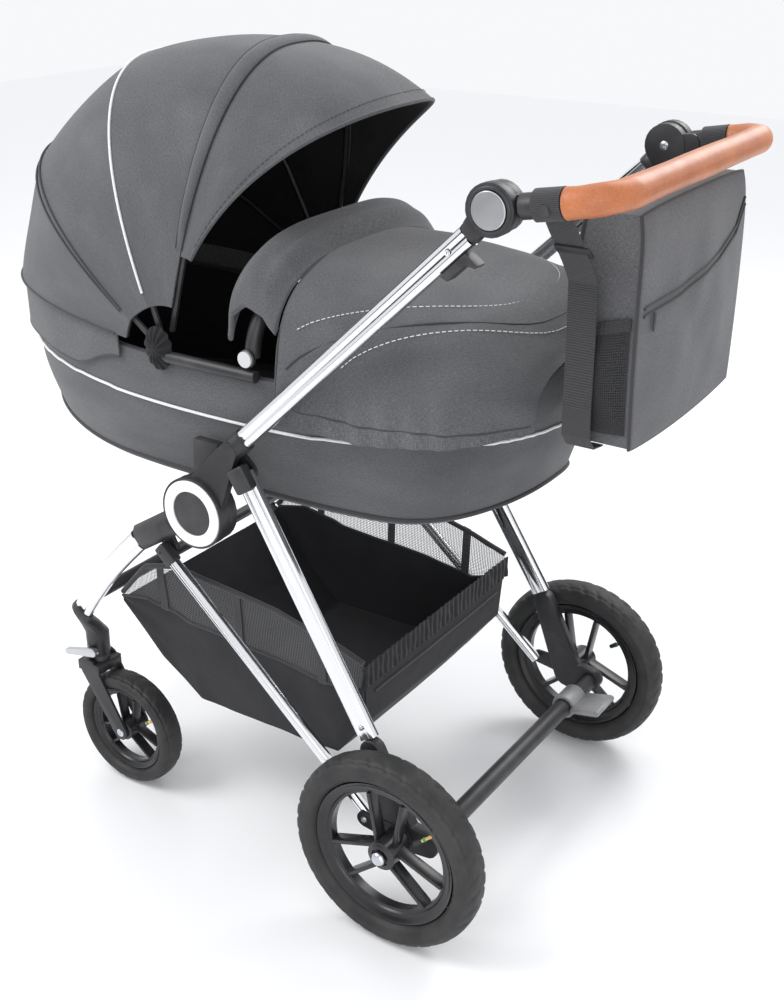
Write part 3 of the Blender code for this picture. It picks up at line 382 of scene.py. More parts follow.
# %% [markdown]
# ## Finishes
# Each finish is a small node tree. They read Object coordinates, so that a grain has its real size on
# every piece, or the piece's own UV map in metres where threads have to follow the cloth.
# %% Helpers for node trees
class Finish:
    """A material with its Principled shader, and short calls that add the nodes it needs."""

    def __init__(self, name, colour, roughness, metallic=0.0, uv=False):
        """Adds the material and its shader, coloured and roughened."""
        self.material = bpy.data.materials.new(name)
        self.material.use_nodes = True
        self.tree = self.material.node_tree
        self.shader = self.tree.nodes["Principled BSDF"]
        self.set("Base Color", (*colour, 1))
        self.set("Roughness", roughness)
        self.set("Metallic", metallic)
        self.coords = self.tree.nodes.new("ShaderNodeTexCoord").outputs["UV" if uv else "Object"]

    def set(self, socket, value):
        """Sets one of the shader's own sockets."""
        self.shader.inputs[socket].default_value = value

    def link(self, source, target):
        """Joins two sockets."""
        self.tree.links.new(source, target)

    def stretched(self, scale):
        """Coordinates multiplied by a scale for each axis."""
        mapping = self.tree.nodes.new("ShaderNodeMapping")
        mapping.inputs["Scale"].default_value = scale
        self.link(self.coords, mapping.inputs["Vector"])
        return mapping.outputs["Vector"]

    def noise(self, scale, detail=3.0, stretch=(1, 1, 1)):
        """A noise of so many cells to the metre."""
        node = self.tree.nodes.new("ShaderNodeTexNoise")
        node.inputs["Scale"].default_value = scale
        node.inputs["Detail"].default_value = detail
        self.link(self.stretched(stretch), node.inputs["Vector"])
        return node.outputs["Fac"]

    def ribs(self, per_metre, axis="X", distortion=0.0):
        """Evenly spaced ribs or threads across an axis."""
        node = self.tree.nodes.new("ShaderNodeTexWave")
        node.bands_direction = axis
        node.inputs["Scale"].default_value = per_metre * math.pi / 10
        node.inputs["Distortion"].default_value = distortion
        self.link(self.coords, node.inputs["Vector"])
        return node.outputs["Fac"]

    def mix(self, kind, one, two):
        """One maths step on two values."""
        node = self.tree.nodes.new("ShaderNodeMath")
        node.operation = kind
        for source, socket in ((one, node.inputs[0]), (two, node.inputs[1])):
            if isinstance(source, (int, float)):
                socket.default_value = source
            else:
                self.link(source, socket)
        return node.outputs[0]

    def ramp(self, value, stops):
        """Colours or greys along a value: (place, colour) pairs."""
        node = self.tree.nodes.new("ShaderNodeValToRGB")
        while len(node.color_ramp.elements) < len(stops):
            node.color_ramp.elements.new(0.5)
        for element, (place, colour) in zip(node.color_ramp.elements, stops):
            element.position = place
            element.color = (*colour, 1) if len(colour) == 3 else colour
        self.link(value, node.inputs["Fac"])
        return node.outputs["Color"]

    def colour(self, value, stops):
        """Colours the surface by a value."""
        self.link(self.ramp(value, stops), self.shader.inputs["Base Color"])

    def rough(self, value, low, high):
        """Varies the roughness by a value."""
        node = self.tree.nodes.new("ShaderNodeMapRange")
        node.inputs["To Min"].default_value = low
        node.inputs["To Max"].default_value = high
        self.link(value, node.inputs["Value"])
        self.link(node.outputs["Result"], self.shader.inputs["Roughness"])

    def bump(self, *heights):
        """One or more (value, strength, distance in metres) bumps, stacked."""
        last = None
        for value, strength, distance in heights:
            node = self.tree.nodes.new("ShaderNodeBump")
            node.inputs["Strength"].default_value = strength
            node.inputs["Distance"].default_value = distance
            self.link(value, node.inputs["Height"])
            if last:
                self.link(last, node.inputs["Normal"])
            last = node.outputs["Normal"]
        self.link(last, self.shader.inputs["Normal"])


# %% [markdown]
# ### Cloth
# The outer cloth is a melange: dark and light grey fibres are spun together before weaving, so close up
# it is flecked and from afar it is an even charcoal. Two noises, each drawn out along one thread
# direction, give the flecks; a third, broad one gives the faint clouds of worn and handled cloth.
# %% Melange, lining, mesh, webbing and thread
def melange(name, dark, middle, light, uv=True):
    """Outer cloth with flecks along both thread directions."""
    made = Finish(name, middle, 0.92, uv=uv)
    warp = made.noise(1500, 2, (1, 0.14, 1))
    weft = made.noise(1500, 2, (0.14, 1, 1))
    clouds = made.noise(9, 3)
    flecks = made.mix("ADD", made.mix("MULTIPLY", warp, 0.5), made.mix("MULTIPLY", weft, 0.5))
    tone = made.mix("ADD", made.mix("MULTIPLY", flecks, 0.8), made.mix("MULTIPLY", clouds, 0.2))
    made.colour(tone, [(0.36, dark), (0.50, middle), (0.64, light)])
    weave = made.mix("ADD", made.ribs(1300, "X"), made.ribs(1300, "Y"))
    made.bump((made.noise(26, 2), 0.35, 0.0020), (weave, 0.25, 0.00020), (flecks, 0.5, 0.00030))
    made.set("Sheen Weight", 0.18)
    made.set("Sheen Roughness", 0.55)
    made.set("Specular IOR Level", 0.25)
    return made.material


CLOTH = melange("charcoal_melange", (0.050, 0.051, 0.056), (0.088, 0.089, 0.095), (0.145, 0.147, 0.155))
CLOTH_OBJECT = melange("charcoal_melange_binding", (0.050, 0.051, 0.056), (0.088, 0.089, 0.095),
                       (0.145, 0.147, 0.155), uv=False)


def black_cloth(name, colour, per_metre, rib, sheen=0.1):
    """A plain black cloth with a fine thread."""
    made = Finish(name, colour, 0.88, uv=True)
    weave = made.mix("MULTIPLY", made.ribs(per_metre, "X"), made.ribs(per_metre, "Y"))
    lighter = tuple(c * 2.1 for c in colour)
    made.colour(made.mix("ADD", made.mix("MULTIPLY", weave, 0.4),
                         made.mix("MULTIPLY", made.noise(14, 3), 0.6)),
                [(0.2, colour), (0.8, lighter)])
    made.bump((made.noise(30, 2), 0.4, 0.0025), (weave, 0.5, rib))
    made.set("Sheen Weight", sheen)
    made.set("Specular IOR Level", 0.3)
    return made.material


LINING = black_cloth("black_lining", (0.010, 0.010, 0.011), 800, 0.0002, 0.06)
BASKET_CLOTH = black_cloth("coated_black_cloth", (0.014, 0.014, 0.016), 700, 0.0002, 0.12)


def webbing(name):
    """Ribbed polypropylene band: cross ribs every 2 mm, with a plain edge."""
    made = Finish(name, (0.014, 0.014, 0.016), 0.62, uv=True)
    ribs = made.ribs(500, "Y")
    made.colour(made.mix("ADD", made.mix("MULTIPLY", ribs, 0.6),
                         made.mix("MULTIPLY", made.noise(300, 2), 0.4)),
                [(0.2, (0.007, 0.007, 0.008)), (0.8, (0.036, 0.036, 0.040))])
    made.bump((ribs, 0.9, 0.0006), (made.ribs(1500, "X"), 0.3, 0.0002))
    made.set("Sheen Weight", 0.15)
    return made.material


WEBBING = webbing("black_webbing")


def net(name, thread, per_metre, hole):
    """A knitted mesh: threads cross both ways, and the holes between them are clear."""
    made = Finish(name, thread, 0.75, uv=True)
    across, along = made.ribs(per_metre, "X"), made.ribs(per_metre, "Y")
    grid = made.mix("MAXIMUM", across, along)
    solid = made.mix("GREATER_THAN", grid, hole)
    made.link(solid, made.shader.inputs["Alpha"])
    made.bump((grid, 0.6, 0.0004))
    return made.material


NET = net("grey_net", (0.10, 0.10, 0.105), 330, 0.72)
NET_BLACK = net("black_net", (0.020, 0.020, 0.022), 330, 0.60)


def thread(name, colour):
    """Twisted sewing thread or piping cord."""
    made = Finish(name, colour, 0.7)
    made.bump((made.noise(900, 2), 0.5, 0.0003))
    made.colour(made.noise(400, 2), [(0.3, tuple(c * 0.82 for c in colour)), (0.7, colour)])
    made.set("Sheen Weight", 0.2)
    return made.material


WHITE_PIPING = thread("white_piping", (0.80, 0.80, 0.80))
WHITE_THREAD = thread("white_thread", (0.74, 0.74, 0.73))
DARK_THREAD = thread("dark_thread", (0.030, 0.030, 0.033))

# %% [markdown]
# ### Hard finishes
# Chrome is a mirror that is never quite clean: fine rubbing marks run along the tube and soften its
# highlight. Moulded plastic has a fine spark-eroded grain, a painted highlight on its edges and painted shade
# in its hollows.
# %% Chrome, plastics, rubber and leather
def metal(name, colour, low, high, stretch):
    """A metal with fine rubbing marks, drawn out by stretch."""
    made = Finish(name, colour, low, 1.0)
    marks = made.noise(60, 6, stretch)
    made.rough(marks, low, high)
    made.bump((marks, 0.06, 0.0004), (made.noise(700, 2), 0.04, 0.0001))
    made.colour(made.noise(5, 4), [(0.3, tuple(c * 0.93 for c in colour)), (0.7, colour)])
    return made.material


CHROME = metal("polished_chrome", (0.86, 0.87, 0.89), 0.05, 0.20, (12, 1, 1))
BOLT_STEEL = metal("zinc_bolt", (0.62, 0.64, 0.68), 0.18, 0.36, (1, 6, 6))
BRASS = metal("brass_valve", (0.72, 0.47, 0.16), 0.2, 0.35, (1, 1, 1))


def plastic(name, colour, low, high, grain, edge):
    """Moulded plastic with a grain, a painted highlight on convex edges and painted shade in hollows."""
    made = Finish(name, colour, low)
    # Painted light: pointiness paints convex edges towards the edge colour as a painted highlight, and
    # hollows darker as painted shade.
    painted_edge_light = made.tree.nodes.new("ShaderNodeNewGeometry").outputs["Pointiness"]
    highlight_shade_mask = made.mix("ADD", made.mix("MULTIPLY", painted_edge_light, 0.8), made.mix("MULTIPLY", made.noise(40, 4), 0.2))
    # The 0.44 stop is painted shade in hollows; the 0.62 stop, edge, is the painted highlight colour.
    made.colour(highlight_shade_mask, [(0.44, tuple(c * 0.85 for c in colour)), (0.52, colour), (0.62, edge)])
    made.rough(made.noise(18, 5), low, high)
    made.bump((made.noise(1800, 2), grain, 0.00012))
    return made.material


BLACK_PLASTIC = plastic("black_plastic_grain", (0.020, 0.020, 0.022), 0.36, 0.50, 0.5, (0.045, 0.045, 0.048))
RIM_PLASTIC = plastic("rim_plastic", (0.012, 0.012, 0.013), 0.22, 0.34, 0.15, (0.032, 0.032, 0.034))
GREY_PLASTIC = plastic("grey_plastic_satin", (0.23, 0.23, 0.24), 0.30, 0.44, 0.3, (0.34, 0.34, 0.35))
WHITE_PLASTIC = plastic("white_plastic_gloss", (0.84, 0.84, 0.85), 0.25, 0.36, 0.1, (0.9, 0.9, 0.9))
SILVER = metal("silver_lacquer", (0.60, 0.61, 0.63), 0.30, 0.42, (1, 1, 1))


def rubber(name):
    """Dusty matt tyre rubber."""
    made = Finish(name, (0.020, 0.020, 0.021), 0.62)
    dust = made.noise(22, 6)
    made.colour(dust, [(0.35, (0.013, 0.013, 0.014)), (0.75, (0.036, 0.036, 0.036))])
    made.rough(made.noise(55, 4), 0.48, 0.72)
    made.bump((made.noise(900, 3), 0.3, 0.0002))
    return made.material


RUBBER = rubber("tyre_rubber")


def leather(name):
    """Smooth bark-tanned leather: fine pores, small creases, and darker where hands hold it."""
    made = Finish(name, (0.50, 0.165, 0.060), 0.42)
    cells = made.tree.nodes.new("ShaderNodeTexVoronoi")
    cells.feature = "DISTANCE_TO_EDGE"
    cells.inputs["Scale"].default_value = 620
    made.link(made.coords, cells.inputs["Vector"])
    made.colour(made.mix("ADD", made.mix("MULTIPLY", made.noise(16, 5), 0.7),
                         made.mix("MULTIPLY", made.noise(400, 2), 0.3)),
                [(0.35, (0.36, 0.105, 0.036)), (0.55, (0.50, 0.165, 0.060)), (0.75, (0.60, 0.22, 0.085))])
    made.rough(made.noise(60, 4), 0.34, 0.52)
    made.bump((made.noise(90, 3), 0.25, 0.0008), (cells.outputs["Distance"], 0.35, 0.0004))
    made.set("Coat Weight", 0.12)
    made.set("Coat Roughness", 0.35)
    return made.material


LEATHER = leather("tan_leather_grain")
GREEN_RING = plastic("green_ring", (0.01, 0.22, 0.12), 0.4, 0.5, 0.1, (0.02, 0.3, 0.18))
print(len(bpy.data.materials), "materials")

# %% [markdown]
# ## Chassis: housings, brackets and forks
# The moulded and turned hard parts already have their true shape in CAD. Their mesh is loose triangles,
# so `finished` joins the points of a copy and rounds its edges a little, because a real moulding never
# has a knife edge and it is the rounded edge that catches the light.
# %% Hard parts kept from CAD, with rounded edges
KEPT = {
    "rear_frame": (BLACK_PLASTIC, ["rear_bracket_left", "rear_bracket_right", "rear_cross_tube"]),
    "upper_frame": (BLACK_PLASTIC,
                    ["hub_sleeve_left", "hub_sleeve_right", "pivot_housing_left", "pivot_housing_right"]),
    "front_frame": (BLACK_PLASTIC, ["front_arm_left", "front_arm_right", "caster_housing_left",
                                    "caster_housing_right", "front_cross_tube"]),
    "caster_left": (BLACK_PLASTIC, ["caster_fork_left"]),
    "caster_right": (BLACK_PLASTIC, ["caster_fork_right"]),
    "caster_lock_left": (SILVER, ["caster_lock_left"]),
    "caster_lock_right": (SILVER, ["caster_lock_right"]),
    "brake": (GREY_PLASTIC, ["brake_pedal"]),
    "handle": (BLACK_PLASTIC, ["handle_bar"]),
    "fold_trigger_left": (BLACK_PLASTIC, ["fold_trigger_left"]),
    "fold_trigger_right": (BLACK_PLASTIC, ["fold_trigger_right"]),
    "canopy_rear": (BLACK_PLASTIC, ["canopy_bow_rear"]),
    "canopy_middle": (BLACK_PLASTIC, ["canopy_bow_middle"]),
    "canopy_front": (BLACK_PLASTIC, ["canopy_bow_front"]),
}
SLOT_OF = {BLACK_PLASTIC: "black_plastic", SILVER: "silver_plastic", GREY_PLASTIC: "grey_plastic"}
for body, (material, nodes) in KEPT.items():
    for node in nodes:
        settle(finished(node, 0.0012 if "housing" in node else 0.0007), f"{node}_moulding", material,
               body, SLOT_OF[material])
for side, _ in SIDES:
    settle(finished(f"rear_axle_{side}", 0.0006), f"rear_axle_{side}_bolt", BOLT_STEEL, "rear_frame",
           "chrome")
print("hard parts:", sum(len(nodes) for _, nodes in KEPT.values()) + 2)

# %% [markdown]
# ## Tubes with grooves
# Pram tubes are extruded with a shallow channel along their broad sides, which stiffens them and draws
# the dark line down the middle of each one. A ring of points with that outline is swept along the
# tube's path; the channel is a dip in the outline where it faces sideways.
# %% A channelled tube
def channel_tube(name, node, path, height, width, body, channel=0.0016, share=0.34, squareness=3.2):
    """An oval tube along a path of points, with a channel along both flat sides."""
    ways = [(path[min(i + 1, len(path) - 1)] - path[max(i - 1, 0)]).normalized() for i in range(len(path))]

    def shape(u, v):
        i, share_on = piece_of(path, v)
        centre = path[i].lerp(path[i + 1], share_on)
        along = ways[i].lerp(ways[i + 1], share_on).normalized()
        across = (Vector((1, 0, 0)) - along * along.x).normalized()
        up = along.cross(across)
        turn = 2 * math.pi * u
        c, s = math.cos(turn), math.sin(turn)
        side = width / 2 * math.copysign(abs(c) ** (2 / squareness), c)
        rise = height / 2 * math.copysign(abs(s) ** (2 / squareness), s)
        dip = channel * (1 - smooth(share * 0.75, share * 1.1, abs(rise) / (height / 2)))
        return centre + across * (side - math.copysign(dip, side)) + up * rise

    made = skin(64, 4 * (len(path) - 1), shape, around=True, caps=True)
    settle(made, name, CHROME, body, "chrome", angle=50)
    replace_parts(made, node)
    return made


def lie(side_sign, places, x_first=FRAME_X, x_last=FRAME_X):
    """Points at (y, z) places, whose x runs evenly from x_first to x_last."""
    last = len(places) - 1
    return [at(side_sign * (x_first + (x_last - x_first) * i / last), *p) for i, p in enumerate(places)]


# %% Upper tubes, rear legs, struts and front legs
tube_way = ((UPPER_TOP[0] - SLEEVE_TOP[0]), (UPPER_TOP[1] - SLEEVE_TOP[1]))
tube_length = math.hypot(*tube_way)
tube_way = (tube_way[0] / tube_length, tube_way[1] / tube_length)
near_pivot = sum((HANDLE_PIVOT[i] - 0.045 * tube_way[i] - SLEEVE_TOP[i]) * tube_way[i] for i in (0, 1))
TUBE_END = tuple(SLEEVE_TOP[i] + tube_way[i] * near_pivot for i in (0, 1))
for side, sign in SIDES:
    channel_tube(f"upper_tube_{side}_chrome", f"upper_tube_{side}",
                 lie(sign, [toward(SLEEVE_TOP, TUBE_END, 0.0004), TUBE_END]), 0.026, 0.020, "upper_frame")
    channel_tube(f"rear_leg_{side}_chrome", f"rear_leg_{side}",
                 lie(sign, [REAR_PIVOT, REAR_LEG_END], FRAME_X,
                     0.250), 0.030, 0.016, "rear_frame", 0.0014, 0.42, 3.6)
    channel_tube(f"strut_{side}_chrome", f"strut_{side}",
                 lie(sign, [STRUT_END, STRUT_TOP], 0.2490, 0.2460), 0.017, 0.017, "struts", 0.0010, 0.22, 2.2)
    start, end = toward(ARM_END, FRONT_LEG_END, 0.008), toward(FRONT_LEG_END, ARM_END, 0.0004)
    bow = [(start[0] + (end[0] - start[0]) * t, start[1] + (end[1] - start[1]) * t) for t in (0, 0.2, 0.4,
            0.6, 0.8, 1)]
    lean = math.atan2(end[1] - start[1], end[0] - start[0]) + math.pi / 2
    bow = [(y - 0.006 * math.sin(math.pi * i / 5) * math.cos(lean),
            z - 0.006 * math.sin(math.pi * i / 5) * math.sin(lean))
           for i, (y, z) in enumerate(bow)]
    channel_tube(f"front_leg_{side}_chrome", f"front_leg_{side}", lie(sign, bow), 0.033, 0.018,
                 "front_frame", 0.0022, 0.40, 2.8)
print("tubes:", 8)

# %% [markdown]
# ## Hubs, pivots and their fasteners
# The big round hub joins three tubes and hides its works behind a black disc in a white ring. All of it
# is turned about the hub's axis. Small pan-head screws and pins show where one part turns on another.
# %% Hub faces and side buttons
for side, sign in SIDES:
    ring = turned([(0.0325, sign * 0.2584), (0.0490, sign * 0.2584), (0.0487, sign * 0.2610),
                   (0.0475, sign * 0.2620),
                   (0.0340, sign * 0.2620), (0.0328, sign * 0.2612)], HUB, 96)
    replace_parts(settle(ring, f"hub_ring_{side}_white", WHITE_PLASTIC, "upper_frame", "white_plastic"),
                f"hub_ring_{side}")
    rim = turned([(0.0493, sign * 0.2565), (0.0522, sign * 0.2565), (0.0522, sign * 0.2600),
                  (0.0515, sign * 0.2612),
                  (0.0502, sign * 0.2612), (0.0493, sign * 0.2602)], HUB, 96)
    settle(rim, f"hub_rim_{side}", BLACK_PLASTIC, "upper_frame", "black_plastic")
    disc = turned([(0.0, sign * 0.2575), (0.0322, sign * 0.2575), (0.0322, sign * 0.2598),
                   (0.0312, sign * 0.2607),
                   (0.0, sign * 0.2613)], HUB, 96)
    settle(disc, f"hub_disc_{side}", BLACK_PLASTIC, "upper_frame", "black_plastic")
    button = turned([(0.0, sign * 0.2500), (0.0214, sign * 0.2500), (0.0214, sign * 0.2540),
                     (0.0205, sign * 0.2549),
                     (0.0, sign * 0.2554)], HANDLE_PIVOT, 72)
    settle(button, f"handle_button_{side}_cap", SILVER, f"handle_button_{side}", "silver_plastic")
    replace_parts(button, f"handle_button_{side}")
    collar = turned([(0.0222, sign * 0.2490), (0.0262, sign * 0.2490), (0.0262, sign * 0.2522),
                     (0.0252, sign * 0.2530),
                     (0.0228, sign * 0.2530)], HANDLE_PIVOT, 72)
    settle(collar, f"handle_collar_{side}", BLACK_PLASTIC, "upper_frame", "black_plastic")


# %% Screws and rivets
def pan_head(name, x, yz, sign, radius, material, body, slot="black_plastic", height=0.0022):
    """A domed screw head with a hex socket, facing out along X."""
    head = turned([(0.0, x), (radius, x), (radius, x + sign * height * 0.4),
                   (radius * 0.8, x + sign * height * 0.85),
                   (radius * 0.42, x + sign * height), (radius * 0.38, x + sign * height * 0.4), (0.0,
                           x + sign * height * 0.4)],
                  yz, 24)
    return settle(head, name, material, body, slot)


for side, sign in SIDES:
    pan_head(f"rear_pivot_rivet_{side}", sign * 0.2480, toward(REAR_PIVOT, REAR_LEG_END, 0.006), sign,
             0.0052, BLACK_PLASTIC, "rear_frame")
    pan_head(f"strut_top_rivet_{side}", sign * 0.2545, STRUT_TOP, sign, 0.0048, BLACK_PLASTIC, "struts")
    pan_head(f"strut_foot_rivet_{side}", sign * 0.2622, STRUT_END, sign, 0.0048, BOLT_STEEL, "rear_frame",
             "chrome")
    pan_head(f"rear_leg_rivet_{side}", sign * 0.2565, toward(REAR_LEG_END, REAR_PIVOT, 0.018), sign,
             0.0036, BOLT_STEEL, "rear_frame", "chrome")
    pan_head(f"handle_inner_screw_{side}", sign * 0.2200, HANDLE_PIVOT, -sign, 0.0060, BOLT_STEEL,
             "handle", "chrome")
    pan_head(f"caster_pin_{side}", sign * 0.2388, CASTER_AXLE, sign, 0.0068, BOLT_STEEL, f"caster_{side}",
             "chrome", 0.0016)
    pan_head(f"tube_stop_{side}", sign * 0.2495, toward(TUBE_END, SLEEVE_TOP, 0.030), sign, 0.0036,
             CHROME, "upper_frame", "chrome")
    leg_spot = at(sign * 0.2480, *toward(REAR_PIVOT, REAR_LEG_END, 0.0065))
    socket = block(leg_spot, (0.0185, 0.030, 0.036), 0.004, upright(REAR_LEG_END, REAR_PIVOT))
    settle(socket, f"rear_leg_socket_{side}", BLACK_PLASTIC, "rear_frame", "black_plastic")
    strut_spot = at(sign * 0.2462, *toward(STRUT_TOP, STRUT_END, 0.007))
    socket = block(strut_spot, (0.0190, 0.0200, 0.034), 0.004, upright(STRUT_TOP, STRUT_END))
    settle(socket, f"strut_socket_{side}", BLACK_PLASTIC, "struts", "black_plastic")
print("fasteners done")

# %% [markdown]
# ## Wheels
# The rear wheels are air tyres on moulded rims with six blades in three V-shaped pairs; the casters are
# the same, smaller. The tyre is a closed ring whose section is a rounded box. Its tread is cut by
# pushing points in where slanted bands cross the crown, and thin ridges run round each side wall.
# %% Tyre
def make_tyre(name, node, centre, x, radius, width, rim_r, body, lugs):
    """A ribbed tyre about (y, z) with a slanted tread."""
    middle_r, half_deep, half = (radius + rim_r) / 2, (radius - rim_r) / 2, width / 2

    def shape(u, v):
        turn, around = 2 * math.pi * v, 2 * math.pi * u
        c, s = math.cos(turn), math.sin(turn)
        side = math.copysign(abs(c) ** 0.78, c)
        deep = math.copysign(abs(s) ** 0.74, s)
        r, out = middle_r + half_deep * deep, half * side
        if deep > 0.45:
            slant = lugs * around + 5.0 * abs(side)
            cut = smooth(0.45, 0.75, math.sin(slant)) * smooth(0.20, 0.35, abs(side)) * smooth(0.45, 0.7,
                    deep)
            line = 1 - smooth(0.02, 0.07, abs(abs(side) - 0.66))
            r -= 0.0016 * cut * radius / 0.145 + 0.0014 * line
        if deep < 0.62:
            for spot in (0.10, 0.34, -0.22):
                out += math.copysign(0.0009, side) * max(0.0, 1 - abs(deep - spot) / 0.05) * smooth(0.5,
                        0.9, abs(side))
        y, z = r * math.cos(around), r * math.sin(around)
        return at(x + out, centre[0] + y, centre[1] + z)

    made = skin(int(lugs * 9), 56, shape, around=True)
    settle(made, name, RUBBER, body, "rubber", angle=60)
    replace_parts(made, node)
    return made


# %% Rim, blades, hub and valve
def blade(start, end, width, thick, taper):
    """One spoke: a beam from start to end, with its broad side along X and a slimmer far end."""
    clear()
    bpy.ops.mesh.primitive_cube_add(size=1)
    made = bpy.context.object
    made.scale = (width, thick, (end - start).length)
    bpy.ops.object.transform_apply(location=False, rotation=False, scale=True)
    for point in made.data.vertices:
        point.select = point.co.z > 0
    bpy.ops.object.mode_set(mode="EDIT")
    bpy.ops.mesh.select_mode(type="VERT")
    bpy.ops.transform.resize(value=(taper, taper, 1))
    bpy.ops.object.mode_set(mode="OBJECT")
    modify(made, "BEVEL", width=thick * 0.22, segments=2)
    way = end - start
    made.rotation_euler = (math.atan2(-way.y, way.z), 0, 0)
    made.location = (start + end) / 2
    bpy.ops.object.transform_apply(location=True, rotation=True, scale=True)
    return made


def make_rim(name, node, centre, x, radius, width, rim_r, hub_r, hub_from, hub_to, body):
    """Rim, six blades and a stepped hub as one moulding."""
    half, scale = width / 2, radius / 0.145
    section = [(rim_r - 0.0002, 0.62), (rim_r - 0.002 * scale, 0.60), (rim_r - 0.005 * scale, 0.50),
               (rim_r - 0.009 * scale, 0.42),
               (rim_r - 0.0125 * scale, 0.40), (rim_r - 0.0145 * scale, 0.30), (rim_r - 0.0185 * scale, 0.27)]
    profile = [(r, x + half * share) for r, share in section] + [(r, x - half * share) for r,
            share in section[::-1]]
    parts = [turned(profile, centre, 96)]
    low, high = sorted((hub_from, hub_to))
    step = 0.003 * scale
    parts.append(turned([(0.0076 * scale, low), (hub_r * 0.86, low), (hub_r, low + step),
                         (hub_r, high - step), (hub_r * 0.88, high - step * 0.3),
                         (hub_r * 0.62, high), (hub_r * 0.60, high - step), (0.0076 * scale,
                                 high - step)], centre, 48))
    inner = rim_r - 0.0175 * scale
    for pair in range(3):
        for lean in (-1, 1):
            angle = math.radians(90 + 120 * pair)
            foot, tip = angle + lean * 0.95, angle + lean * math.radians(17)
            start = at(x, centre[0] + hub_r * 0.74 * math.cos(foot),
                       centre[1] + hub_r * 0.74 * math.sin(foot))
            end = at(x, centre[0] + inner * math.cos(tip), centre[1] + inner * math.sin(tip))
            parts.append(blade(start, end, 0.56 * width, 0.0092 * scale, 0.74))
    made = join(parts)
    settle(made, name, RIM_PLASTIC, body, "black_plastic", angle=32)
    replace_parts(made, node)
    return made


def make_valve(name, centre, x, sign, rim_r, body, angle):
    """A brass stem with a green ring and a black cap, which points in from the rim."""
    def spot(radius, out):
        return at(x + sign * out, centre[0] + radius * math.cos(angle), centre[1] + radius * math.sin(angle))

    scale = rim_r / 0.109
    foot, neck, top = spot(rim_r - 0.017 * scale, 0.004), spot(rim_r - 0.034 * scale,
            0.010), spot(rim_r - 0.047 * scale, 0.012)
    settle(rod(foot, neck, 0.0026, 16), f"{name}_stem", BRASS, body)
    settle(rod(neck.lerp(foot, 0.35), neck.lerp(foot, 0.18), 0.0032, 16), f"{name}_ring", GREEN_RING, body)
    settle(rod(neck, top, 0.0040, 12, 0.0034), f"{name}_cap", RUBBER, body)


# %% Build the four wheels
REAR_AXLE, REAR_X, REAR_R, REAR_W, REAR_RIM_R, REAR_HUB_R = (0.0, 0.145), 0.291, 0.145, 0.048, 0.109, 0.021
CASTER_X, CASTER_R, CASTER_W, CASTER_RIM_R, CASTER_HUB_R = 0.213, 0.096, 0.041, 0.0715, 0.0165
for side, sign in SIDES:
    body = f"rear_wheel_{side}"
    make_tyre(f"{body}_tread", f"{body}_tyre", REAR_AXLE, sign * REAR_X, REAR_R, REAR_W, REAR_RIM_R, body, 36)
    make_rim(f"{body}_spokes", f"{body}_rim", REAR_AXLE, sign * REAR_X, REAR_R, REAR_W, REAR_RIM_R,
             REAR_HUB_R,
             sign * 0.2665, sign * 0.3125, body)
    make_valve(f"{body}_valve", REAR_AXLE, sign * REAR_X, sign, REAR_RIM_R, body, math.radians(38))
    body = f"front_wheel_{side}"
    make_tyre(f"{body}_tread", f"{body}_tyre", CASTER_AXLE, sign * CASTER_X, CASTER_R, CASTER_W,
              CASTER_RIM_R, body, 28)
    make_rim(f"{body}_spokes", f"{body}_rim", CASTER_AXLE, sign * CASTER_X, CASTER_R, CASTER_W,
             CASTER_RIM_R, CASTER_HUB_R,
             sign * 0.1935, sign * 0.2325, body)
    make_valve(f"{body}_valve", CASTER_AXLE, sign * CASTER_X, sign, CASTER_RIM_R, body, math.radians(30))

# %% [markdown]
# ## Handle grip
# A tan leather sleeve is wrapped round the bar and sewn on its underside, where the two edges meet in a
# shallow furrow. The furrow is a dip in the sleeve's round section, and each stitch is a short slanted
# rod across it.
# %% Leather sleeve and its stitches
GRIP_FROM = 0.0865


def handle_path(first, count):
    """Points along the handle's U from a reach on the left to the same reach on the right."""
    rise = Vector((0, math.cos(HANDLE_RISE), math.sin(HANDLE_RISE)))
    pivot, corner = at(0, *HANDLE_PIVOT), HANDLE_REACH - CORNER_R
    half = [pivot + rise * (first + (corner - first) * i / 4) + Vector((HANDLE_X, 0, 0)) for i in range(4)]
    for i in range(count + 1):
        turn = math.pi / 2 * i / count
        half.append(pivot + rise * (corner + CORNER_R * math.sin(turn))
                    + Vector((HANDLE_X - CORNER_R * (1 - math.cos(turn)), 0, 0)))
    across = [Vector((half[-1].x * (1 - 2 * i / 12), half[-1].y, half[-1].z)) for i in range(1, 12)]
    return half + across + [Vector((-p.x, p.y, p.z)) for p in half[::-1]]


GRIP_PATH = handle_path(GRIP_FROM, 12)
GRIP_UP = Vector((0, -math.sin(HANDLE_RISE), math.cos(HANDLE_RISE)))


def grip_point(u, v, radius):
    """A point of a sleeve round the bar: u round it and v along it."""
    i, share = piece_of(GRIP_PATH, v)
    along = (GRIP_PATH[min(i + 2, len(GRIP_PATH) - 1)] - GRIP_PATH[max(i - 1, 0)]).normalized()
    out = along.cross(GRIP_UP).normalized()
    turn = 2 * math.pi * u
    off = out * radius * math.cos(turn)
    return GRIP_PATH[i].lerp(GRIP_PATH[i + 1], share) + off + GRIP_UP * radius * math.sin(turn)


SEAM_AT = 0.62


def leather_point(u, v):
    """A point of the leather sleeve, with its sewn furrow and rolled ends."""
    furrow = math.exp(-((u - SEAM_AT) / 0.012) ** 2)
    ends = smooth(0, 0.008, v) * smooth(0, 0.008, 1 - v)
    bulge = 0.0003 * math.sin(40 * v) + ripple((u * 3, v * 30, 0), 1.0, 0.0003)
    return grip_point(u, v, GRIP_R - 0.0009 * furrow - 0.0016 * (1 - ends) + bulge)


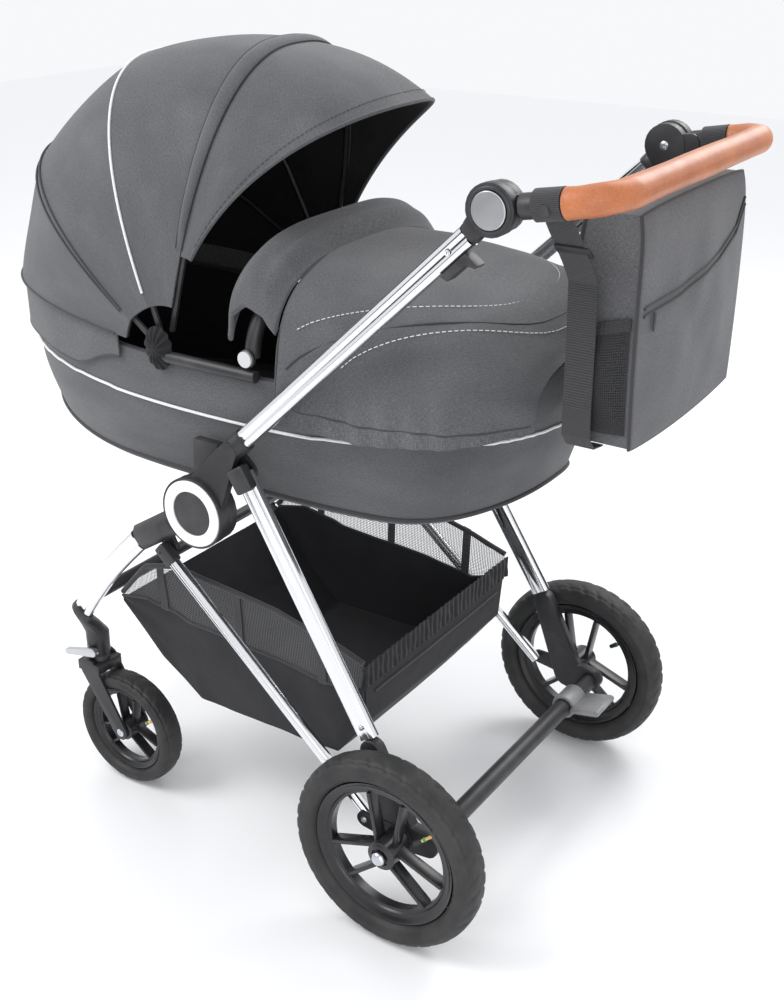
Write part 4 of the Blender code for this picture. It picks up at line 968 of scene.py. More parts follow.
grip = skin(72, 4 * (len(GRIP_PATH) - 1), leather_point, around=True, caps=True)
settle(grip, "handle_grip_leather", LEATHER, "handle", "tan_leather", angle=60)
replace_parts(grip, "handle_grip")
stitches = []
for i in range(96):
    v = 0.012 + 0.976 * i / 95
    stitches.append(rod(grip_point(SEAM_AT - 0.022, v, GRIP_R - 0.0002),
                        grip_point(SEAM_AT + 0.022, v + 0.004, GRIP_R - 0.0002), 0.00045, 6))
settle(join(stitches), "handle_grip_stitches", thread("tan_thread", (0.42, 0.15, 0.06)), "handle")
print("grip length", round(sum((b - a).length for a, b in zip(GRIP_PATH, GRIP_PATH[1:])), 3), "m")


# %% [markdown]
# ## The bassinet
# The tub is cloth over a formed board, soft enough to show dents. Its sides are one strip sewn to a
# rounded floor panel, so the surface is a closed ring of points for each level. A low ripple gives
# the dents, and the rim is rolled over to the lining.
# %% Outline, tub shell and lining
def plan(share, half_w, head, foot):
    """A point of the rounded-rectangle outline at a share of its way round: (x, y)."""
    turn = 2 * math.pi * share
    c, s = math.cos(turn), math.sin(turn)
    middle, half = (head + foot) / 2, (foot - head) / 2
    return half_w * math.copysign(abs(c) ** (2 / 2.7),
                                  c), middle + half * math.copysign(abs(s) ** (2 / 2.7), s)


def rim_height(y):
    """The height of the tub's rim at y."""
    s = (y - HEAD_Y) / (FOOT_Y - HEAD_Y)
    return 0.735 + 0.035 * (2 * s - 1) ** 2


def floor_height(y):
    """The height of the tub's floor at y."""
    return 0.560 + 0.055 * max(0, (-0.55 - y) / 0.27) ** 2 + 0.060 * max(0, (y + 0.10) / 0.20) ** 2


def tub_point(share, level, inset=0.0):
    """A point of the tub's side: level 0 at the floor and 1 at the rim."""
    shrink = 0.030 * (1 - level) ** 2 + inset
    x, y = plan(share, SEAT_HALF_W - shrink, HEAD_Y + shrink, FOOT_Y - shrink)
    low, high = floor_height(y), rim_height(y)
    return x, y, low + (high - low) * level


def shell_point(u, v):
    """The tub outside, from the middle of its floor (v = 0) up over the rim (v = 1)."""
    if v < 0.30:
        x, y, z = tub_point(u, 0.0)
        share = smooth(0, 0.30, v) ** 0.6 * 0.93
        middle = (HEAD_Y + FOOT_Y) / 2
        x, y = x * share, middle + (y - middle) * share
        return at(x, y, floor_height(y) - 0.010)
    if v < 0.38:
        x, y, z = tub_point(u, 0.0, -0.003)
        roll = (v - 0.30) / 0.08 * math.pi / 2
        share = 0.93 + 0.07 * math.sin(roll)
        middle = (HEAD_Y + FOOT_Y) / 2
        return at(x * share, middle + (y - middle) * share, floor_height(y) - 0.010 * math.cos(roll))
    level = (v - 0.38) / 0.62
    dent = 0.0045 * noise.noise(Vector((9 * u, 2.4 * level, 3.1))) * math.sin(math.pi * level)
    x, y, z = tub_point(u, level, -0.0030 - dent - 0.0022 * math.sin(math.pi * level) ** 0.6)
    return at(x, y, z + 0.002 * level)


tub = skin(180, 60, shell_point, around=True, size=(2.1, 0.62))
thicken(tub, 0.0022)
settle(tub, "bassinet_cloth", CLOTH, "seat", "grey_fabric", angle=60)
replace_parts(tub, "bassinet")
inner = skin(150, 40, lambda u, v: at(*tub_point(u, 0.12 + 0.88 * v, 0.0065 + 0.001 * math.sin(50 * v))),
             around=True, size=(2.0, 0.19))
thicken(inner, 0.0016)
settle(inner, "bassinet_lining", LINING, "seat", "lining_fabric", angle=60)
rim_line = []
for i in range(180):
    x, y, _ = tub_point(i / 180, 1.0, 0.0010)
    rim_line.append(at(x, y, tub_point(i / 180, 1.0)[2] + 0.0015))
rim_roll = cord_along(rim_line, 0.0038, closed=True, sides=5)
settle(rim_roll, "bassinet_rim_binding", DARK_THREAD, "seat", "black_fabric")


# %% [markdown]
# ### Piping, welt and mattress
# A white piping runs round the tub where the side is sewn to its lower band, and a dark welt closes the
# bottom edge. The mattress is foam in a black cover: a full shape with a soft crown.
# %% Piping, welt, mattress and side rails
def level_at(share, height):
    """The level on the tub's side whose height is closest to height(y)."""
    return min((abs(tub_point(share, i / 100)[2] - height(tub_point(share, i / 100)[1])),
                i / 100) for i in range(101))[1]


def round_tub(height, radius, name, material, out=0.0055):
    """A cord round the tub at the height that height(y) gives."""
    spots = []
    for i in range(160):
        level = level_at(i / 160, height)
        dent = 0.0045 * noise.noise(Vector((9 * i / 160, 2.4 * level, 3.1))) * math.sin(math.pi * level)
        spots.append(at(*tub_point(i / 160, level, -out - dent)))
    return settle(cord_along(spots, radius, closed=True, sides=4), name, material, "seat")


round_tub(lambda y: 0.668 + 0.030 * (2 * (y - HEAD_Y) / (FOOT_Y - HEAD_Y) - 1) ** 2, 0.0021,
          "bassinet_piping", WHITE_PIPING, 0.0068)
round_tub(lambda y: floor_height(y) + 0.002, 0.0034, "bassinet_welt", DARK_THREAD, 0.0040)


def mattress_point(u, v):
    """A point of the mattress: u round its edge, v from the underside over to the top."""
    turn = math.pi * (v - 0.5)
    edge = abs(math.cos(turn)) ** 0.35
    shrink = 0.042 + 0.010 * (1 - edge)
    x, y = plan(u, (SEAT_HALF_W - shrink), HEAD_Y + 0.10, FOOT_Y - 0.10)
    middle = (HEAD_Y + FOOT_Y) / 2
    height = 0.604 + 0.014 * math.copysign(abs(math.sin(turn)) ** 0.5, turn)
    return at(x * edge, middle + (y - middle) * edge,
              height + ripple((x * edge, y * edge, 0), 12, 0.0018) * (v > 0.5))


mattress = skin(96, 40, mattress_point, around=True, size=(1.7, 0.6))
settle(mattress, "mattress_cover", LINING, "seat", "lining_fabric", angle=60)
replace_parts(mattress, "mattress")
for side, sign in SIDES:
    rail = rod(at(sign * 0.2085, -0.442, 0.744), at(sign * 0.2085, -0.262, 0.744), 0.0085, 24)
    modify(rail, "BEVEL", width=0.002, segments=3, limit_method="ANGLE")
    settle(rail, f"seat_rail_{side}", BLACK_PLASTIC, "seat", "black_plastic")
print("bassinet done")

# %% [markdown]
# ## The apron
# The apron is a puffy cover over the foot end, held down by a gathered elastic hem. It is an arched sheet:
# u runs across it from hem to hem, v from the child's side to the foot. The gathers are small waves
# that only exist near the hem, where the elastic pulls the cloth in.
# %% Apron
def apron_top(y):
    """The height of the apron's ridge at y."""
    s = max(0, min(1, (y + 0.235) / 0.345))
    return 0.893 - 0.020 * s - 0.050 * s ** 3


def apron_point(u, y, lift=0.0):
    """A point of the apron: u from hem to hem, y along it, and lift off its surface."""
    foot = max(0.0, (y - 0.020) / 0.098)
    half = 0.218 * (1 - 0.33 * foot ** 2.2) + lift
    top = apron_top(y) - 0.025 * foot ** 2 + lift
    hem = 0.690 + 0.30 * max(0.0, y + 0.10) ** 1.3
    turn = math.pi * u
    c, s = math.cos(turn), math.sin(turn)
    near_hem = smooth(0.55, 0.0, s)
    gather = 0.0018 * math.sin(150 * y + 3 * c) * near_hem * smooth(0.30, 0.0,
            s) + 0.0016 * math.sin(61 * y) * near_hem
    x = (half + gather) * math.copysign(abs(c) ** 0.62, c)
    return at(x, y, hem + (top - hem) * s ** 0.62)


def apron_skin(u, v):
    """apron_point with v along the apron, and its soft swellings."""
    y = -0.2225 + 0.338 * v
    end = smooth(0.93, 1.0, v)
    puff = 0.004 * ripple((4 * u, 5 * v, 0), 1.3, 1.0, 2.0) + 0.0016 * math.sin(math.pi * min(1, 4 * v))
    return apron_point(u, y + 0.002 * end, puff * smooth(0, 0.2, math.sin(math.pi * u)))


apron = skin(150, 90, apron_skin, size=(0.74, 0.34))
thicken(apron, 0.0030)
settle(apron, "apron_cloth", CLOTH, "seat", "grey_fabric", angle=60)


def foot_point(u, v):
    """The apron's foot end: the arch drawn in to a shallow dome."""
    share = 1 - v
    edge = apron_point(u, 0.1155, 0.0)
    middle = at(0, 0.1225, 0.785)
    return middle.lerp(edge, share ** 0.8) + Vector((0, 0.004 * math.sin(math.pi * share), 0))


foot_panel = skin(100, 24, foot_point, size=(0.6, 0.12))
thicken(foot_panel, 0.0026, offset=0.0)
settle(foot_panel, "apron_foot", CLOTH, "seat", "grey_fabric", angle=60)
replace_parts(apron, "apron")


def over_apron(spots, radius, name, material, lift=0.003):
    """A cord that lies on the apron through (u, y) places."""
    fine = []
    for (u0, y0), (u1, y1) in zip(spots, spots[1:]):
        fine += [apron_point(u0 + (u1 - u0) * i / 8, y0 + (y1 - y0) * i / 8, lift) for i in range(8)]
    return settle(cord_along(fine + [apron_point(*spots[-1], lift)], radius, sides=3), name, material, "seat")


def stitch_line(spots, name, material, pitch=0.0062, radius=0.00065, lift=0.0042):
    """Single stitches along (u, y) places on the apron, each a short cord."""
    made = []
    for (u0, y0), (u1, y1) in zip(spots, spots[1:]):
        way = (apron_point(u1, y1) - apron_point(u0, y0)).length
        count = max(1, int(way / pitch))
        for i in range(count):
            a, b = i / count, (i + 0.62) / count
            made.append(rod(apron_point(u0 + (u1 - u0) * a, y0 + (y1 - y0) * a, lift),
                            apron_point(u0 + (u1 - u0) * b, y0 + (y1 - y0) * b, lift), radius, 5))
    return settle(join(made), name, material, "seat")


def arch(y_edge, y_crown, first=0.20, last=0.80, steps=28):
    """(u, y) places of a curve over the top that reaches y_crown in its middle."""
    places = []
    for i in range(steps + 1):
        share = i / steps
        places.append((first + (last - first) * share,
                       y_edge + (y_crown - y_edge) * math.sin(math.pi * share) ** 1.2))
    return places


over_apron(arch(-0.205, 0.075, 0.07, 0.93), 0.0016, "apron_seam", DARK_THREAD)
stitch_line(arch(-0.195, 0.040, 0.16, 0.84), "apron_stitches", WHITE_THREAD)
stitch_line(arch(-0.120, 0.090, 0.10, 0.90), "apron_foot_stitches", WHITE_THREAD, 0.0062)
for end, u in (("left", 0.012), ("right", 0.988)):
    over_apron([(u, -0.220 + 0.335 * i / 30) for i in range(31)], 0.0030, f"apron_hem_{end}", DARK_THREAD,
               0.0005)
over_apron([(0.006 + 0.988 * i / 60, -0.2220) for i in range(61)], 0.0024, "apron_edge", DARK_THREAD, 0.0008)
print("apron done")


# %% [markdown]
# ## Bumper bar and its padded flap
# The bar is a steel arch in a black sleeve. The apron's flap is folded over it like a saddle: a quilted
# sheet that goes up over the bar and down both sides, with a thick stitched hem.
# %% Bumper sleeve and flap
def bar_point(turn):
    """A point of the bar's middle line, from the left foot (0) to the right one (pi)."""
    c, s = math.cos(turn), math.sin(turn)
    return at(0.198 * math.copysign(abs(c) ** 0.70, c), -0.275 + 0.010 * s,
              0.768 + 0.108 * max(0.0, s) ** 0.90)


bar = cord_along([bar_point(math.pi * i / 64) for i in range(65)], 0.0107, sides=8)
settle(bar, "bumper_bar_sleeve", BLACK_PLASTIC, "bumper", "black_plastic")
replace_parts(bar, "bumper_bar")
for side, sign in SIDES:
    cuff = turned([(0.0, sign * 0.2075), (0.0125, sign * 0.2075), (0.0125, sign * 0.2120),
                   (0.0112, sign * 0.2132), (0.0, sign * 0.2136)],
                  (-0.275, 0.768), 40)
    settle(cuff, f"bumper_boss_{side}", BLACK_PLASTIC, "bumper", "black_plastic")

FLAP_LINES = ((-0.303, 0.050), (-0.297, 0.015), (-0.275, 0.0), (-0.250, 0.008), (-0.2265, 0.030))


def flap_point(u, v):
    """A point of the flap: u from hem to hem, v from its front edge to its back one."""
    i, share = piece_of(FLAP_LINES, v)
    y0, y1 = FLAP_LINES[i][0], FLAP_LINES[i + 1][0]
    d0, d1 = FLAP_LINES[i][1], FLAP_LINES[i + 1][1]
    y, drop = y0 + (y1 - y0) * share, d0 + (d1 - d0) * smooth(0, 1, share)
    turn = math.pi * (0.10 + 0.80 * u)
    c, s = math.cos(turn), math.sin(turn)
    pad = 0.0035 * math.sin(math.pi * v) ** 0.5 * smooth(0, 0.1, u) * smooth(0, 0.1, 1 - u)
    crease = 0.0015 * ripple((6 * u, 3 * v, 0), 1.6, 1.0, 5.0)
    return at((0.214 + pad + crease) * math.copysign(abs(c) ** 0.55, c), y,
              0.790 - drop + 0.128 * s ** 0.8 + pad + crease)


flap = skin(110, 36, flap_point, size=(0.56, 0.115))
thicken(flap, 0.0045)
modify(flap, "SUBSURF", levels=1, render_levels=1)
settle(flap, "apron_flap_pad", CLOTH, "bumper", "grey_fabric", angle=70)
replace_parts(flap, "apron_flap")
border = [flap_point(i / 60, 0.02) for i in range(61)] + [flap_point(0.995, i / 10) for i in range(1, 10)]
border += [flap_point(1 - i / 60, 0.98) for i in range(61)] + [flap_point(0.005,
        1 - i / 10) for i in range(1, 10)]
settle(cord_along(border, 0.0036, closed=True, sides=4), "apron_flap_hem", CLOTH_OBJECT, "bumper")
print("bumper done")

# %% [markdown]
# ## The canopy
# Three gores of cloth are stretched between the bows, which turn about the hinge like the ribs of a fan.
# Every gore is laid between its own two bows, from 0 at the bow behind it to 1 at the bow before it,
# and rides on no body. A black lining lies a little inside each gore.
# %% Gores and linings
def bow_point(angle, w, h, turn, out=0.0):
    """A point of the hood's surface. turn runs from 0 on the left to pi on the right."""
    c, s = math.cos(turn), math.sin(turn)
    x = (w + out) * math.copysign(abs(c) ** (2 / 2.6), c)
    r = (h + out) * abs(s) ** (2 / 2.6)
    return at(x, HINGE[0] + r * math.cos(math.radians(angle)), HINGE[1] + r * math.sin(math.radians(angle)))


def spread(obj):
    """Writes a gore's place into its mesh; the gore rides on no body."""
    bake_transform(obj)


def gore(name, node, behind, before, wrinkle):
    """One canopy panel with its lining."""
    (a0, w0, h0), (a1, w1, h1) = behind, before

    def spot(u, v, out):
        turn = 0.08 + (math.pi - 0.16) * u
        middle = math.sin(math.pi * v)
        pull = 0.0012 * wrinkle * math.sin(26 * u + 4 * v) * middle * smooth(1.0, 0.75, math.sin(turn))
        sag = (0.006 - pull) * middle * math.sin(turn) ** 0.5
        return bow_point(a0 + (a1 - a0) * v, w0 + (w1 - w0) * v, h0 + (h1 - h0) * v, turn, out - sag)

    made = []
    for label, out, thickness, material, slot in (("cloth", 0.0, 0.0024, CLOTH, "grey_fabric"),
                                                  ("lining", -0.0042, 0.0012, LINING, "lining_fabric")):
        panel = skin(120, 30, lambda u, v: spot(u, v, out), size=(1.05, 0.22))
        outward(panel)
        thicken(panel, thickness)
        settle(panel, f"{name}_{label}", material, None, slot, angle=60)
        spread(panel)
        made.append(panel)
    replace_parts(made[0], node)
    return made[0]


gore("canopy_gore_rear", "canopy_panel_rear", SKIRT, BOWS["rear"], 1.0)
gore("canopy_gore_middle", "canopy_panel_middle", BOWS["rear"], BOWS["middle"],
     0.6)
gore("canopy_gore_front", "canopy_panel_front", BOWS["middle"], BOWS["front"],
     0.6)


# %% [markdown]
# ### Seams, piping and visor
# The middle seam carries a white piping; the rear one hides a zip, so it shows as two dark lines. The
# visor is a stiff shade sewn before the front bow, with a padded roll over the seam and a stitched hem.
# %% Seams across the hood
def across_hood(angle, w, h, out, first=0.12, steps=72):
    """Points over the hood at one angle, a little off its surface."""
    return [bow_point(angle, w, h, first + (math.pi - 2 * first) * i / steps, out) for i in range(steps + 1)]


settle(cord_along(across_hood(*BOWS["middle"], 0.0012), 0.0019), "canopy_piping", WHITE_PIPING,
       "canopy_middle")
for i, shift in enumerate((-1.1, 1.1)):
    angle, w, h = BOWS["rear"]
    settle(cord_along(across_hood(angle + shift, w, h, 0.0010), 0.0017), f"canopy_zip_line_{i}",
           DARK_THREAD, "canopy_rear")
settle(cord_along(across_hood(*SKIRT, 0.0006), 0.0018), "canopy_hem_line", DARK_THREAD, "seat")


def visor_point(share, u, out=0.0):
    """A point of the visor: share 0 at its seam and 1 at its hem."""
    turn = 0.24 + (math.pi - 0.48) * u
    depth = math.sin(math.pi * (0.06 + 0.88 * u)) ** 0.8
    return bow_point(76.0 - 0.7 - 26 * depth * share, 0.194, 0.400 + 0.028 * depth * share, turn, out)


visor = skin(120, 28, lambda u, v: visor_point(v, u, 0.001 * math.sin(math.pi * v)), size=(0.95, 0.19))
outward(visor)
thicken(visor, 0.0030)
settle(visor, "visor_cloth", CLOTH, "canopy_front", "grey_fabric", angle=60)
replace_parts(visor, "canopy_visor")
visor_under = skin(90, 16, lambda u, v: visor_point(0.02 + 0.96 * v, u, -0.0048), size=(0.95, 0.19))
outward(visor_under)
thicken(visor_under, 0.0010)
settle(visor_under, "visor_lining", LINING, "canopy_front", "lining_fabric", angle=60)
settle(cord_along([visor_point(0.995, i / 100, -0.0012) for i in range(101)], 0.0027, sides=4),
       "visor_hem", CLOTH_OBJECT, "canopy_front")
hem_stitches = [rod(visor_point(0.90, i / 110, 0.0012), visor_point(0.90, (i + 0.6) / 110, 0.0012),
                    0.0005, 5) for i in range(2, 108)]
settle(join(hem_stitches), "visor_stitches", DARK_THREAD, "canopy_front")


def roll_point(u, v):
    """The padded strip over the front bow."""
    turn = 0.26 + (math.pi - 0.52) * u
    lift = 0.0045 * math.sin(math.pi * v) ** 0.6 * smooth(0, 0.04, u) * smooth(0, 0.04, 1 - u)
    return bow_point(79.5 - 4.2 * v, 0.1945, 0.4000, turn, 0.0008 + lift)


roll = skin(110, 14, roll_point, size=(1.0, 0.035))
outward(roll)
thicken(roll, 0.0016)
settle(roll, "visor_roll", CLOTH, "canopy_front", "grey_fabric", angle=60)
for i, edge in enumerate((0.03, 0.97)):
    settle(cord_along([roll_point(j / 90, edge) for j in range(91)], 0.0011), f"visor_roll_seam_{i}",
           DARK_THREAD, "canopy_front")
print("canopy done")


# %% [markdown]
# ### Skirt and hinge covers
# The hood ends in a flap that hugs the outside of the tub's rim and keeps wind out. It is a strip that
# follows the tub's outline, a few millimetres outside it, with rounded ends near the hinge. Each hinge
# is covered by a black gathered boot: a dome with radial pleats.
# %% Skirt, hem and boots
def skirt_point(u, v):
    """u runs round the head end from the right hinge to the left one, v down from the hood's edge."""
    share = 0.535 + 0.430 * u
    x, y = plan(share, SEAT_HALF_W + 0.0085, HEAD_Y - 0.0085, FOOT_Y)
    high = rim_height(y)
    ends = smooth(0, 0.09, u) * smooth(0, 0.09, 1 - u)
    top = HINGE[1] + 0.006 + 0.105 * max(0.0, HINGE[0] - y)
    low = high - 0.012 - 0.036 * ends
    wave = 0.0012 * math.sin(38 * u) * v
    return at(x * (1 + 0.012 * (1 - v)) + wave, y, top + (low - top) * v)


skirt = skin(130, 12, skirt_point, size=(1.0, 0.055))
outward(skirt)
thicken(skirt, 0.0024, offset=0.0, lining=True)
settle(skirt, "canopy_skirt", [CLOTH, LINING], "seat", "grey_fabric", angle=60)
settle(cord_along([skirt_point(i / 110, 1.0) for i in range(111)], 0.0019), "canopy_skirt_hem",
       DARK_THREAD, "seat")
for side, sign in SIDES:
    def boot_point(u, v, sign=sign):
        turn = 2 * math.pi * u
        r = 0.025 * v
        pleat = 0.0014 * math.sin(13 * turn) * smooth(0.1, 0.6, v)
        return at(sign * (0.2205 - 0.011 * v ** 2.2 + pleat), HINGE[0] + r * math.cos(turn),
                  HINGE[1] + 1.25 * r * math.sin(turn))

    boot = skin(104, 10, boot_point, around=True, size=(0.2, 0.03))
    thicken(boot, 0.0012)
    settle(boot, f"hinge_boot_{side}", LINING, "seat", "lining_fabric", angle=50)
print("skirt done")


# %% [markdown]
# ## The changing bag
# The bag is a soft box of the same cloth. A box is cut fine enough to swell, its sides are pushed out
# like a filled bag's, and its edges get a piped seam. The double zip sits on the face away from the
# child and slopes across it; a mesh pocket with an elastic band is sewn on the near side.
# %% Bag body
BAG_X, BAG_Y, BAG_Z = (-0.165, 0.160), (0.1575, 0.2515), (0.736, 1.011)


def bag_point(x, y, z):
    """Swells a point of the box: flat panels bulge and the corners stay."""
    sx, sy, sz = ((value - low) / (high - low) * 2 - 1 for value,
                  (low, high) in ((x, BAG_X), (y, BAG_Y), (z, BAG_Z)))
    belly = (1 - sx ** 2) * (1 - sz ** 2)
    round_off = 1 - 0.035 * sx ** 2 * sz ** 2 - 0.02 * sx ** 4
    dent = 0.004 * noise.noise(Vector((x, y, z)) * 17) * belly
    return at(x * round_off,
              0.2045 + (y - 0.2045) * (0.86 + 0.16 * belly) * (1 - 0.16 * max(0, sz) ** 6) + dent * sy,
              z - 0.008 * (1 - sx ** 2) * (sz < -0.98) - 0.004 * abs(sx) ** 3 * max(0, sz))


clear()
bpy.ops.mesh.primitive_cube_add(size=1)
bag = bpy.context.object
bpy.ops.object.mode_set(mode="EDIT")
bpy.ops.mesh.select_all(action="SELECT")
bpy.ops.mesh.subdivide(number_cuts=40)
bpy.ops.uv.cube_project(cube_size=1.0, correct_aspect=False)
bpy.ops.object.mode_set(mode="OBJECT")
for point in bag.data.vertices:
    x, y, z = (low + (high - low) * (c + 0.5) for c, (low, high) in zip(point.co, (BAG_X, BAG_Y, BAG_Z)))
    point.co = bag_point(x, y, z)
modify(bag, "BEVEL", width=0.006, segments=3, limit_method="ANGLE", angle_limit=math.radians(50))
bpy.ops.object.mode_set(mode="EDIT")
bpy.ops.mesh.select_all(action="SELECT")
bpy.ops.uv.cube_project(cube_size=1.0, correct_aspect=False)
bpy.ops.object.mode_set(mode="OBJECT")
settle(bag, "bag_cloth", CLOTH, "bag", "grey_fabric", angle=60)
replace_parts(bag, "changing_bag")


def bag_face(x, z, lift=0.0015, face=1):
    """A point on the bag's outer (face 1) or inner (face -1) panel."""
    y = BAG_Y[1] if face > 0 else BAG_Y[0]
    return bag_point(x, y, z) + Vector((0, lift * face, 0))


def bag_run(places, radius, name, material, lift=0.0012):
    """A cord on the bag's outer face through (x, z) places."""
    fine = []
    for (x0, z0), (x1, z1) in zip(places, places[1:]):
        fine += [bag_face(x0 + (x1 - x0) * i / 10, z0 + (z1 - z0) * i / 10, lift) for i in range(10)]
    return settle(cord_along(fine + [bag_face(*places[-1], lift)], radius, sides=3), name, material, "bag")


def bag_edge(y, name):
    """A piped seam round the bag at y."""
    spots = [(BAG_X[0], BAG_Z[0]), (BAG_X[1], BAG_Z[0]), (BAG_X[1], BAG_Z[1]), (BAG_X[0], BAG_Z[1])]
    fine = []
    for (x0, z0), (x1, z1) in zip(spots, spots[1:] + spots[:1]):
        fine += [bag_point(x0 + (x1 - x0) * i / 24, y, z0 + (z1 - z0) * i / 24) for i in range(24)]
    settle(cord_along(fine, 0.0024, closed=True, sides=4), name, DARK_THREAD, "bag")


bag_edge(BAG_Y[1] - 0.003, "bag_seam_outer")
bag_edge(BAG_Y[0] + 0.003, "bag_seam_inner")
for i, shift in enumerate((0.0, 0.009)):
    bag_run([(0.150, 0.896 + shift), (0.06, 0.900 + shift), (-0.06, 0.916 + shift),
             (-0.120, 0.938 + shift), (-0.158, 0.970 + shift)],
            0.0016, f"bag_zip_{i}", DARK_THREAD)
pull = block(bag_face(0.128, 0.886, 0.004), (0.006, 0.002, 0.022), 0.0008)
settle(pull, "bag_zip_pull", BLACK_PLASTIC, "bag")


# %% Mesh pocket on the near side, with its elastic band
def pocket_point(u, v):
    """A point of the net pocket on the bag's left side."""
    y = BAG_Y[0] + 0.010 + (BAG_Y[1] - BAG_Y[0] - 0.020) * u
    z = 0.752 + (0.120 + 0.018 * u) * v
    base = bag_point(BAG_X[1], y, z)
    return base + Vector((0.0015 + 0.010 * math.sin(math.pi * u) * math.sin(math.pi * min(1,
            0.15 + 0.75 * v)), 0, 0))


pocket = skin(40, 40, pocket_point, size=(0.08, 0.13))
thicken(pocket, 0.0006)
settle(pocket, "bag_net_pocket", NET_BLACK, "bag", "black_fabric", angle=60)
band = skin(40, 6, lambda u,
            v: pocket_point(u, 0.93 + 0.11 * v) + Vector((0.0008 + 0.0008 * math.sin(70 * u), 0,
                                                          0)), size=(0.08, 0.014))
thicken(band, 0.0016)
settle(band, "bag_pocket_band", WEBBING, "bag", "webbing", angle=60)
print("bag done")


# %% [markdown]
# ### Straps
# Webbing loops hold the bag on the handle's stubs. Each strap is a flat band: a path of points, with a
# width along the stub. The loop rides on the handle; the run down the bag's side rides on no body.
# %% Loops, side runs, sliders and snaps
STRAP_Y = 0.182


def band_along(path, across, width, thickness, name, material, body, slot="webbing"):
    """A flat band whose middle follows path and whose width lies along across."""
    length = sum((b - a).length for a, b in zip(path, path[1:]))

    def shape(u, v):
        i, share = piece_of(path, v)
        return path[i].lerp(path[i + 1], share) + across * (u - 0.5) * width

    made = skin(6, 3 * (len(path) - 1), shape, size=(width, length))
    outward(made)
    thicken(made, thickness, offset=0.0)
    return settle(made, name, material, body, slot, angle=50)


rise = Vector((0, math.cos(HANDLE_RISE), math.sin(HANDLE_RISE)))
for side, sign in SIDES:
    loop_at = at(sign * HANDLE_X, *HANDLE_PIVOT) + rise * 0.068
    up = Vector((0, -math.sin(HANDLE_RISE), math.cos(HANDLE_RISE)))
    loop = [loop_at + Vector((0.0172 * math.cos(t), 0, 0)) + up * 0.0172 * math.sin(t)
            for t in (math.radians(-70 + 320 * i / 40) for i in range(41))]
    band_along(loop, rise, 0.034, 0.0018, f"bag_strap_{side}_loop", WEBBING, "handle")
    settle(turned([(0.0, sign * 0.2545), (0.0068, sign * 0.2545), (0.0062, sign * 0.2566),
                   (0.0, sign * 0.2572)],
                  (loop_at.y - AXLE_Y, loop_at.z
                   - 0.004), 32), f"bag_strap_{side}_snap", BLACK_PLASTIC, "handle")
    reach = 0.1660 if sign > 0 else 0.1700
    bend = [(0.2366 - 0.016, loop_at.z - 0.016), (0.196, 0.972), (reach + 0.006, 0.930),
            (reach + 0.0035, 0.860), (reach + 0.0035, 0.780),
            (reach + 0.002, 0.745), (reach - 0.012, 0.7285), (reach - 0.045, 0.7235)]
    fine = []
    for (x0, z0), (x1, z1) in zip(bend, bend[1:]):
        fine += [at(sign * (x0 + (x1 - x0) * i / 5),
                    STRAP_Y - 0.011 * smooth(0.93, 1.02,
                                             z0 + (z1 - z0) * i / 5), z0 + (z1
                                                     - z0) * i / 5) for i in range(5)]
    strap = band_along(fine, Vector((0, 1, 0)), 0.036, 0.0018, f"bag_strap_{side}_run", WEBBING, None)
    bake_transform(strap)
    slider = block(at(sign * 0.1945, STRAP_Y - 0.003, 0.9705), (0.0045, 0.042, 0.020), 0.0012,
                   Matrix.Rotation(sign * math.radians(50), 3, "Y"))
    settle(slider, f"bag_strap_{side}_slider", BLACK_PLASTIC, "bag")
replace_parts(bpy.data.objects["bag_strap_left_run"], "bag_strap")
print("straps done")

# %% [markdown]
# ## The basket
# The shopping basket hangs under the tub: a tray of coated black cloth with a strip of net along the top
# of each side and a band of gathered elastic at the back. Outline and rim are two lines of points; the
# wall is the surface between them.
# %% Basket
BASKET_SIDE = ((-0.560, 0.318), (-0.490, 0.235), (-0.420, 0.178), (-0.160, 0.178), (-0.105, 0.250),
               (-0.100, 0.345))
BASKET_RIM = ((-0.560, 0.330), (-0.500, 0.395), (-0.440, 0.412), (-0.250, 0.395), (-0.160, 0.375),
              (-0.100, 0.356))
BASKET_HALF, BASKET_BODY, BASKET_KEEP = 0.205, "rear_frame", 0.40


def on_line(line, y):
    """The height of a line of (y, z) places at y."""
    for (y0, z0), (y1, z1) in zip(line, line[1:]):
        if y <= y1:
            return z0 + (z1 - z0) * max(0.0, (y - y0) / (y1 - y0))
    return line[-1][1]


def basket_wall(sign, u, v, out=0.0):
    """A side wall: u from the front to the back, v from the floor to the rim."""
    y = -0.5585 + 0.4575 * u
    low, high = on_line(BASKET_SIDE, y), on_line(BASKET_RIM, y)
    z = low + (high - low) * v
    belly = 0.0035 * math.sin(math.pi * v) * math.sin(math.pi * u) + 0.0025 * ripple((4 * u, 2 * v, 0),
            2.2, 1.0, 4.0)
    x = BASKET_HALF - 0.020 * max(0.0, min(1.0, (0.40 - z) / 0.22)) - 0.002 + belly + out
    return at(sign * x, y, z)


def basket_floor(u, v):
    """The tray from side to side, and v from the front lip round the floor to the back lip."""
    i, share = piece_of(BASKET_SIDE, v)
    (y0, z0), (y1, z1) = BASKET_SIDE[i], BASKET_SIDE[i + 1]
    y, z = y0 + (y1 - y0) * share, z0 + (z1 - z0) * share
    half = BASKET_HALF - 0.020 * max(0.0, min(1.0, (0.40 - z) / 0.22)) - 0.002
    sag = 0.006 * math.sin(math.pi * u) * smooth(0.02, 0.2, v) * smooth(0.02, 0.2,
            1 - v) + ripple((3 * u, 6 * v, 1), 1.5, 0.003, 3.0)
    return at(half * (1 - 2 * u), y, z + 0.002 - sag * 0.5)


def hang(obj, name, material, slot=None):
    """Settles a basket piece on the rear frame and gives it its own mesh."""
    settle(obj, name, material, BASKET_BODY, slot, angle=50)
    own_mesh(obj)
    return obj


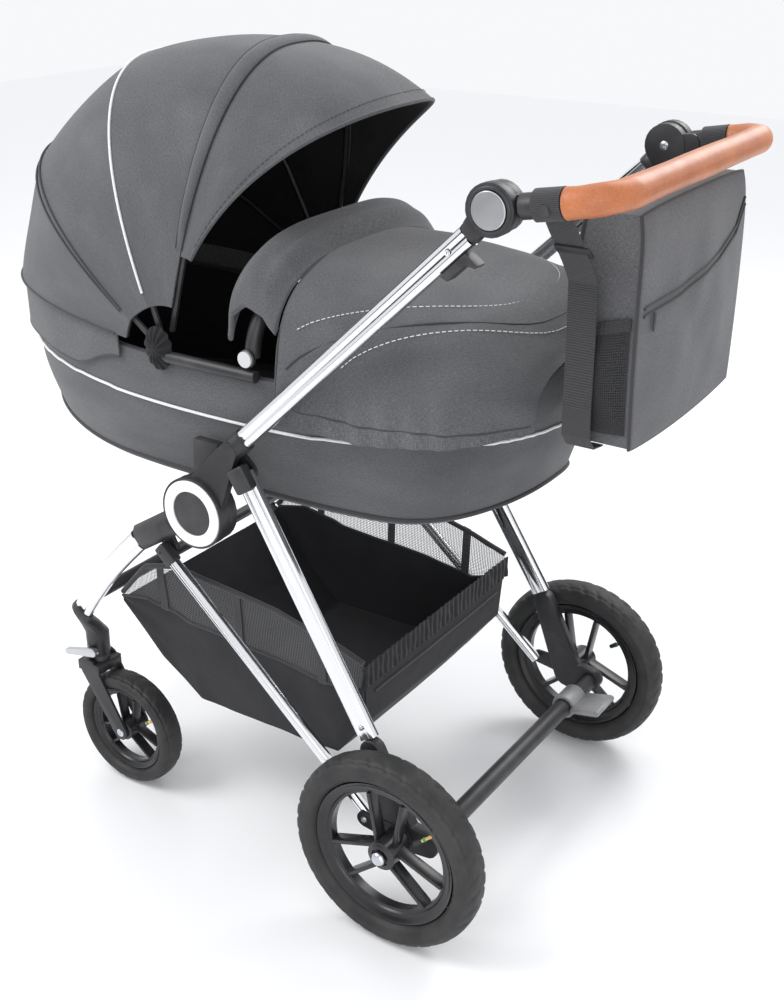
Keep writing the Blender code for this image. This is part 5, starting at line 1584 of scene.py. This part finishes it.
floor_cloth = skin(60, 110, basket_floor, size=(0.40, 0.75))
outward(floor_cloth)
thicken(floor_cloth, 0.0020, offset=0.0)
hang(floor_cloth, "basket_floor_cloth", BASKET_CLOTH, "black_fabric")
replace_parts(floor_cloth, "basket")
for side, sign in SIDES:
    wall = skin(90, 30, lambda u, v: basket_wall(sign, u, 0.62 * v), size=(0.46, 0.13))
    outward(wall)
    thicken(wall, 0.0018, offset=0.0)
    hang(wall, f"basket_wall_{side}", BASKET_CLOTH, "black_fabric")
    netting = skin(90, 16, lambda u, v: basket_wall(sign, u, 0.62 + 0.38 * v), size=(0.46, 0.085))
    hang(netting, f"basket_net_{side}", NET, "black_fabric")
    rim_cord = cord_along([basket_wall(sign, i / 60, 1.0) for i in range(61)], 0.0042, sides=4)
    hang(rim_cord, f"basket_rim_{side}", DARK_THREAD)
    seam = cord_along([basket_wall(sign, i / 60, 0.62, 0.001) for i in range(61)], 0.0022, sides=3)
    hang(seam, f"basket_seam_{side}", DARK_THREAD)
    for i, u in enumerate((0.20, 0.52, 0.84)):
        tab = skin(4, 8, lambda a, b,
                   u=u: basket_wall(sign, u + 0.030 * (a - 0.5), 0.60 + 0.42 * b, 0.0022), size=(0.014, 0.08))
        thicken(tab, 0.0014, offset=0.0)
        hang(tab, f"basket_tab_{side}_{i}", WEBBING, "webbing")


def hem_point(u, v):
    """A band over a lip of the basket, gathered by its elastic."""
    y, z = BASKET_SIDE[-1]
    gather = 0.0007 * math.sin(210 * u) + ripple((40 * u, 2 * v, 0), 1.0, 0.0012, 6.0)
    return at((BASKET_HALF - 0.004) * (1 - 2 * u), y + 0.0030 + gather * 0.5,
              z - 0.026 + 0.034 * v) + Vector((0, gather, 0.0))


hem = skin(260, 8, hem_point, size=(0.40, 0.034))
thicken(hem, 0.0020, offset=0.0)
hang(hem, "basket_rear_hem", BASKET_CLOTH, "black_fabric")
zip_run = cord_along([basket_floor(i / 40, 0.90) + Vector((0, 0.003, 0)) for i in range(2, 39)], 0.0018,
                     sides=3)
hang(zip_run, "basket_zip", DARK_THREAD)
print("basket done")
